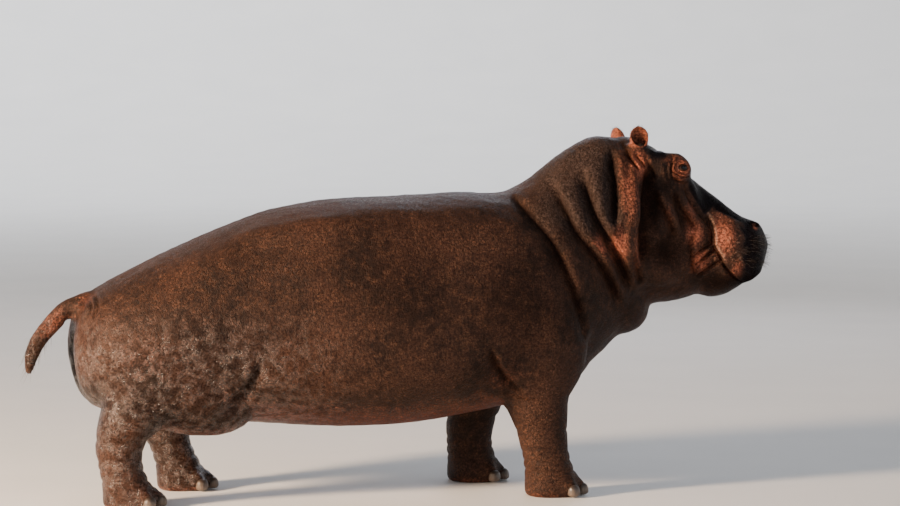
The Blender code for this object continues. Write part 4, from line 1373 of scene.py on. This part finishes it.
def bristleTree():
    tree = bpy.data.node_groups.new("bristles on roots", "GeometryNodeTree")
    for name, kind in (("Roots", "Geometry"), ("Sides", "Int"), ("Steps", "Int"), ("Tip", "Float"),
                       ("Bend", "Float"), ("Horn", "Material")):
        tree.interface.new_socket(name, in_out="INPUT", socket_type="NodeSocket" + kind)
    tree.interface.new_socket("Bristles", in_out="OUTPUT", socket_type="NodeSocketGeometry")
    given = tree.nodes.new("NodeGroupInput").outputs
    cone = addNode(tree, "GeometryNodeMeshCone", {
        "Vertices": given["Sides"], "Side Segments": given["Steps"], "Radius Top": given["Tip"],
        "Radius Bottom": 1.0, "Depth": 1.0}, fill_type="NGON")
    high = addNode(tree, "SeparateXYZ", {0: addNode(tree, "GeometryNodeInputPosition")}, "Z")
    stem = addNode(tree, "GeometryNodeStoreNamedAttribute", {
        "Geometry": cone, "Name": "along", "Value": high}, data_type="FLOAT")
    lie, girth, long, along = [
        addNode(tree, "GeometryNodeInputNamedAttribute", {"Name": name}, data_type=kind)
        for name, kind in (("lie", "FLOAT_VECTOR"), ("girth", "FLOAT_VECTOR"), ("long", "FLOAT"),
                           ("along", "FLOAT"))]
    turned = addNode(tree, "FunctionNodeAlignRotationToVector", {"Vector": lie}, axis="Z")
    placed = addNode(tree, "GeometryNodeInstanceOnPoints", {
        "Points": given["Roots"], "Instance": stem, "Rotation": turned, "Scale": girth})
    real = addNode(tree, "GeometryNodeRealizeInstances", {"Geometry": placed})
    droop = addNode(tree, "Math", {0: along, 1: 2.0}, operation="POWER")
    for factor in (given["Bend"], long, -1.0):
        droop = addNode(tree, "Math", {0: droop, 1: factor}, operation="MULTIPLY")
    offset = addNode(tree, "CombineXYZ", {"Z": droop})
    bent = addNode(tree, "GeometryNodeSetPosition", {"Geometry": real, "Offset": offset})
    coated = addNode(tree, "GeometryNodeSetMaterial", {"Geometry": bent, "Material": given["Horn"]})
    tree.links.new(coated, tree.nodes.new("NodeGroupOutput").inputs[0])
    return tree


bristleInputs = {name: bristles[name] for name in ("Sides", "Steps", "Tip", "Bend")}
bristleInputs["Horn"] = bristleHorn()
bristlesOnRoots = bristleTree()
skinPoints, skinNormals = pointsOf(skin.data) + (bodyMiddle, 0, 0), normalsOf(skin.data)


def growBristles(name, roots, ways, lengths, radius, places, seed):
    # one plain mesh of bristles; places are the roots' spots on an unwrap of the hide there
    rng = np.random.default_rng(seed)
    emitter = bpy.data.meshes.new(name)
    emitter.from_pydata([tuple(root) for root in roots - (bodyMiddle, 0, 0)], [], [])
    girths = radius * rng.uniform(0.75, 1.2, len(roots))
    storeValues(emitter, "lie", ways / np.linalg.norm(ways, axis=1)[:, None], "FLOAT_VECTOR", "vector")
    storeValues(emitter, "girth", np.stack([girths, girths, lengths], 1), "FLOAT_VECTOR", "vector")
    storeValues(emitter, "long", lengths)
    piece = objectOf(name, emitter)
    grow = piece.modifiers.new("grow", "NODES")
    grow.node_group = bristlesOnRoots
    for item in bristlesOnRoots.interface.items_tree:
        if item.name in bristleInputs:
            grow[item.identifier] = bristleInputs[item.name]
    keepResult(piece)
    mesh = piece.data
    corners = np.zeros(len(mesh.loops), int)
    mesh.loops.foreach_get("vertex_index", corners)
    number, within = np.divmod(corners, len(mesh.vertices) // len(roots))
    along, around = np.divmod(within, bristles["Sides"])
    patch = np.stack([around / bristles["Sides"], along / (bristles["Steps"] + 1)], 1) - 0.5
    spread = places[number] + patch * bristles["patch"]
    mesh.uv_layers.new(name="OFBake").data.foreach_set("uv", spread.ravel())
    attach(piece, "root")


def chosenRoots(wanted, count, seed):
    return np.random.default_rng(seed).choice(np.flatnonzero(wanted), count, replace=False)


x, y, z = mirrored(skinPoints).T
sidewise = skinPoints[:, 1]

whiskers = {
    "perSide": 190,
    "length": (0.016, 0.036),
    "radius": 0.0006,
    "way": (0.55, 0, -0.10),
    "wild": 0.18,
    "front": (1.545, 1.800),         # they grow on the lips' front between these
    "frontHeights": (1.02, 1.165),
    "side": (1.48, 1.545),           # and on their sides between these
    "sideHeights": (1.04, 1.13),
    "sideOut": 0.16,
    "unwrap": (1.40, 3.2, 0.95, 0.30),  # axis, turn, foot and height of the lips' unwrap
}
onFront = between(x, whiskers["front"]) & between(z, whiskers["frontHeights"]) & (skinNormals[:, 0] > 0.1)
onSide = between(x, whiskers["side"]) & between(z, whiskers["sideHeights"]) & (y > whiskers["sideOut"])
picked = np.concatenate([
    chosenRoots((onFront | onSide) & (np.sign(sidewise) == side), whiskers["perSide"], 21 + side)
    for side in sideNames])
rng = np.random.default_rng(4)
ways = skinNormals[picked] + np.array(whiskers["way"]) + rng.normal(0, whiskers["wild"], (len(picked), 3))
lengths = rng.uniform(*whiskers["length"], len(picked))
axis, wholeTurn, foot, height = whiskers["unwrap"]
turned = np.arctan2(sidewise[picked], x[picked] - axis)
places = np.stack([0.5 + turned / wholeTurn, (z[picked] - foot) / height], 1)
growBristles("muzzle_bristles", skinPoints[picked] - 0.001 * skinNormals[picked], ways, lengths,
             whiskers["radius"], places, 5)

earHair = {
    "perEar": 110,
    "length": (0.009, 0.020),
    "radius": 0.00035,
    "wild": 0.22,
    "rimBand": (0.90, 1.1),  # shares of the rim's height that they grow between
}
for side in sideNames:
    local = earLocal(skinPoints, side)
    turned = np.arctan2(side * local[:, 1], local[:, 0])
    share = local[:, 2] / earRim(turned)
    near = (np.hypot(local[:, 0], local[:, 1]) < 0.055) & (local[:, 2] > 0.02)
    picked = chosenRoots(near & between(share, earHair["rimBand"]), earHair["perEar"], 31 + side)
    rng = np.random.default_rng(8 + side)
    upward = np.array(earFrame(side).col[2][:3])
    ways = 0.6 * skinNormals[picked] + 0.8 * upward + rng.normal(0, earHair["wild"], (len(picked), 3))
    places = np.stack([0.5 + turned[picked] / 6.6, 0.05 + 0.85 * local[picked, 2] / ears["back"]], 1)
    growBristles("ear_hair_" + sideNames[side], skinPoints[picked] - 0.0005 * skinNormals[picked], ways,
                 rng.uniform(*earHair["length"], len(picked)), earHair["radius"], places, 6)

tailHair = {
    "from": -1.645,
    "count": 90,
    "length": (0.030, 0.060),
    "radius": 0.0006,
    "way": (-0.35, 0, -1.0),
    "wild": 0.12,
}
picked = chosenRoots(x < tailHair["from"], tailHair["count"], 51)
rng = np.random.default_rng(12)
ways = 0.45 * skinNormals[picked] + np.array(tailHair["way"])
ways += rng.normal(0, tailHair["wild"], (len(picked), 3))
places = np.stack([0.5 + np.arctan2(sidewise[picked], 0.02) / 4.0, (z[picked] - 0.60) / 0.40], 1)
growBristles("tail_bristles", skinPoints[picked] - 0.001 * skinNormals[picked], ways,
             rng.uniform(*tailHair["length"], len(picked)), tailHair["radius"], places, 13)
print("bristles grown")

studio = {
    "flat": 24.0,      # radius of the level floor
    "bend": 18.0,      # radius of the bend up into the surround
    "paint": ("cfcfcd", "dad9d6"),
    "sky": "e6ebf2",
    "skyStrength": 0.30,
    # place, target, size, power and colour of each lamp
    "key": ((-9.5, -3.7, 3.5), (0.2, 0, 0.95), (1.5, 1.5), 4700, "ffdcb8"),
    "fill": ((2.7, -6.0, 4.9), (1.0, 0, 1.2), (1.3, 1.1), 70, "e8efff"),
    "rim": ((3.0, 9.0, 5.0), (0, 0, 0.9), (4.0, 3.0), 200, "f0f2ff"),
    "surroundLamps": 6,
    "surroundReach": (27, 34),
    "surroundHeight": 15,
    "surround": ((16, 10), 4700, "f6f8ff"),
    # the camera looks at the target from this far, at these degrees round and above
    "target": (0.187, 0, 1.093),
    "azimuth": -12,
    "elevation": 4,
    "distance": 16.0,
    "viewWidth": 4.14,  # metres across at the target
}


def studioFloor(corners=96, steps=15):
    # a level disc that bends up into the surround at its edge
    flat, bend = studio["flat"], studio["bend"]
    rings = [(flat / 2, 0)]
    for step in range(steps + 1):
        turn = math.pi / 2 * step / steps
        rings.append((flat + bend * math.sin(turn), bend * (1 - math.cos(turn))))
    bm = bmesh.new()
    loops = [[bm.verts.new((reach * math.cos(turn), reach * math.sin(turn), high))
              for turn in turnsOf(corners)] for reach, high in rings]
    middle = bm.verts.new((0, 0, 0))
    for i in range(corners):
        j = (i + 1) % corners
        bm.faces.new((middle, loops[0][i], loops[0][j]))
        for low, high in zip(loops, loops[1:]):
            bm.faces.new((low[i], high[i], high[j], low[j]))
    return meshOf(bm, "floor")


def paleFloor():
    # Painted studio floor: pale, matt, with a faint roller mottle.
    material, tree = newMaterial("pale painted floor")
    place = addNode(tree, "TexCoord", out="Object")
    cloud = addNode(tree, "TexNoise", {"Vector": place, "Scale": 1.5, "Detail": 4}, "Fac")
    mottle = addNode(tree, "TexNoise", {"Vector": place, "Scale": 90, "Detail": 3}, "Fac")
    shader = addNode(tree, "BsdfPrincipled", {
        "Base Color": addNode(tree, "Mix", {0: cloud, 6: studio["paint"][0], 7: studio["paint"][1]}, 2,
                              data_type="RGBA"),
        "Roughness": addNode(tree, "MapRange", {0: mottle, 3: 0.62, 4: 0.78}),
        "Normal": addNode(tree, "Bump", {"Height": mottle, "Distance": 0.0004})})
    addNode(tree, "OutputMaterial", {"Surface": shader})
    return material


def softLight(name, place, target, size, power, colour):
    data = bpy.data.lights.new(name, "AREA")
    data.shape = "RECTANGLE"
    data.size, data.size_y = size
    data.energy = power
    data.color = linear(colour)[:3]
    lamp = objectOf(name, data)
    lamp.location = place
    lamp.rotation_euler = (Vector(target) - Vector(place)).to_track_quat("-Z", "Y").to_euler()
    return lamp


floor = objectOf("floor", studioFloor())
floor.data.shade_smooth()
floor.data.materials.append(paleFloor())

world = bpy.data.worlds.new("studio")
bpy.context.scene.world = world
world.use_nodes = True
sky = world.node_tree.nodes["Background"].inputs
sky["Color"].default_value = linear(studio["sky"])
sky["Strength"].default_value = studio["skyStrength"]
for name in ("key", "fill", "rim"):
    softLight(name, *studio[name])
near, far = studio["surroundReach"]
overFloor = Vector((0, 0, studio["surroundHeight"]))
for number, turn in enumerate(turnsOf(studio["surroundLamps"])):
    way = Vector((math.cos(turn + math.pi / 6), math.sin(turn + math.pi / 6), 0))
    lamp = softLight("surround" + str(number), way * near + overFloor, way * far, *studio["surround"])
    lamp.visible_glossy = False

azimuth, elevation = math.radians(studio["azimuth"]), math.radians(studio["elevation"])
back = Vector((math.sin(azimuth) * math.cos(elevation), -math.cos(azimuth) * math.cos(elevation),
               math.sin(elevation)))
camera = bpy.data.cameras.new("camera")
camera.sensor_width = 36
camera.lens = camera.sensor_width * studio["distance"] / studio["viewWidth"]
camera.clip_end = 200
viewer = objectOf("camera", camera)
viewer.location = toFrame @ Vector(studio["target"]) + back * studio["distance"]
viewer.rotation_euler = (-back).to_track_quat("-Z", "Y").to_euler()
bpy.context.scene.camera = viewer
print("studio set")
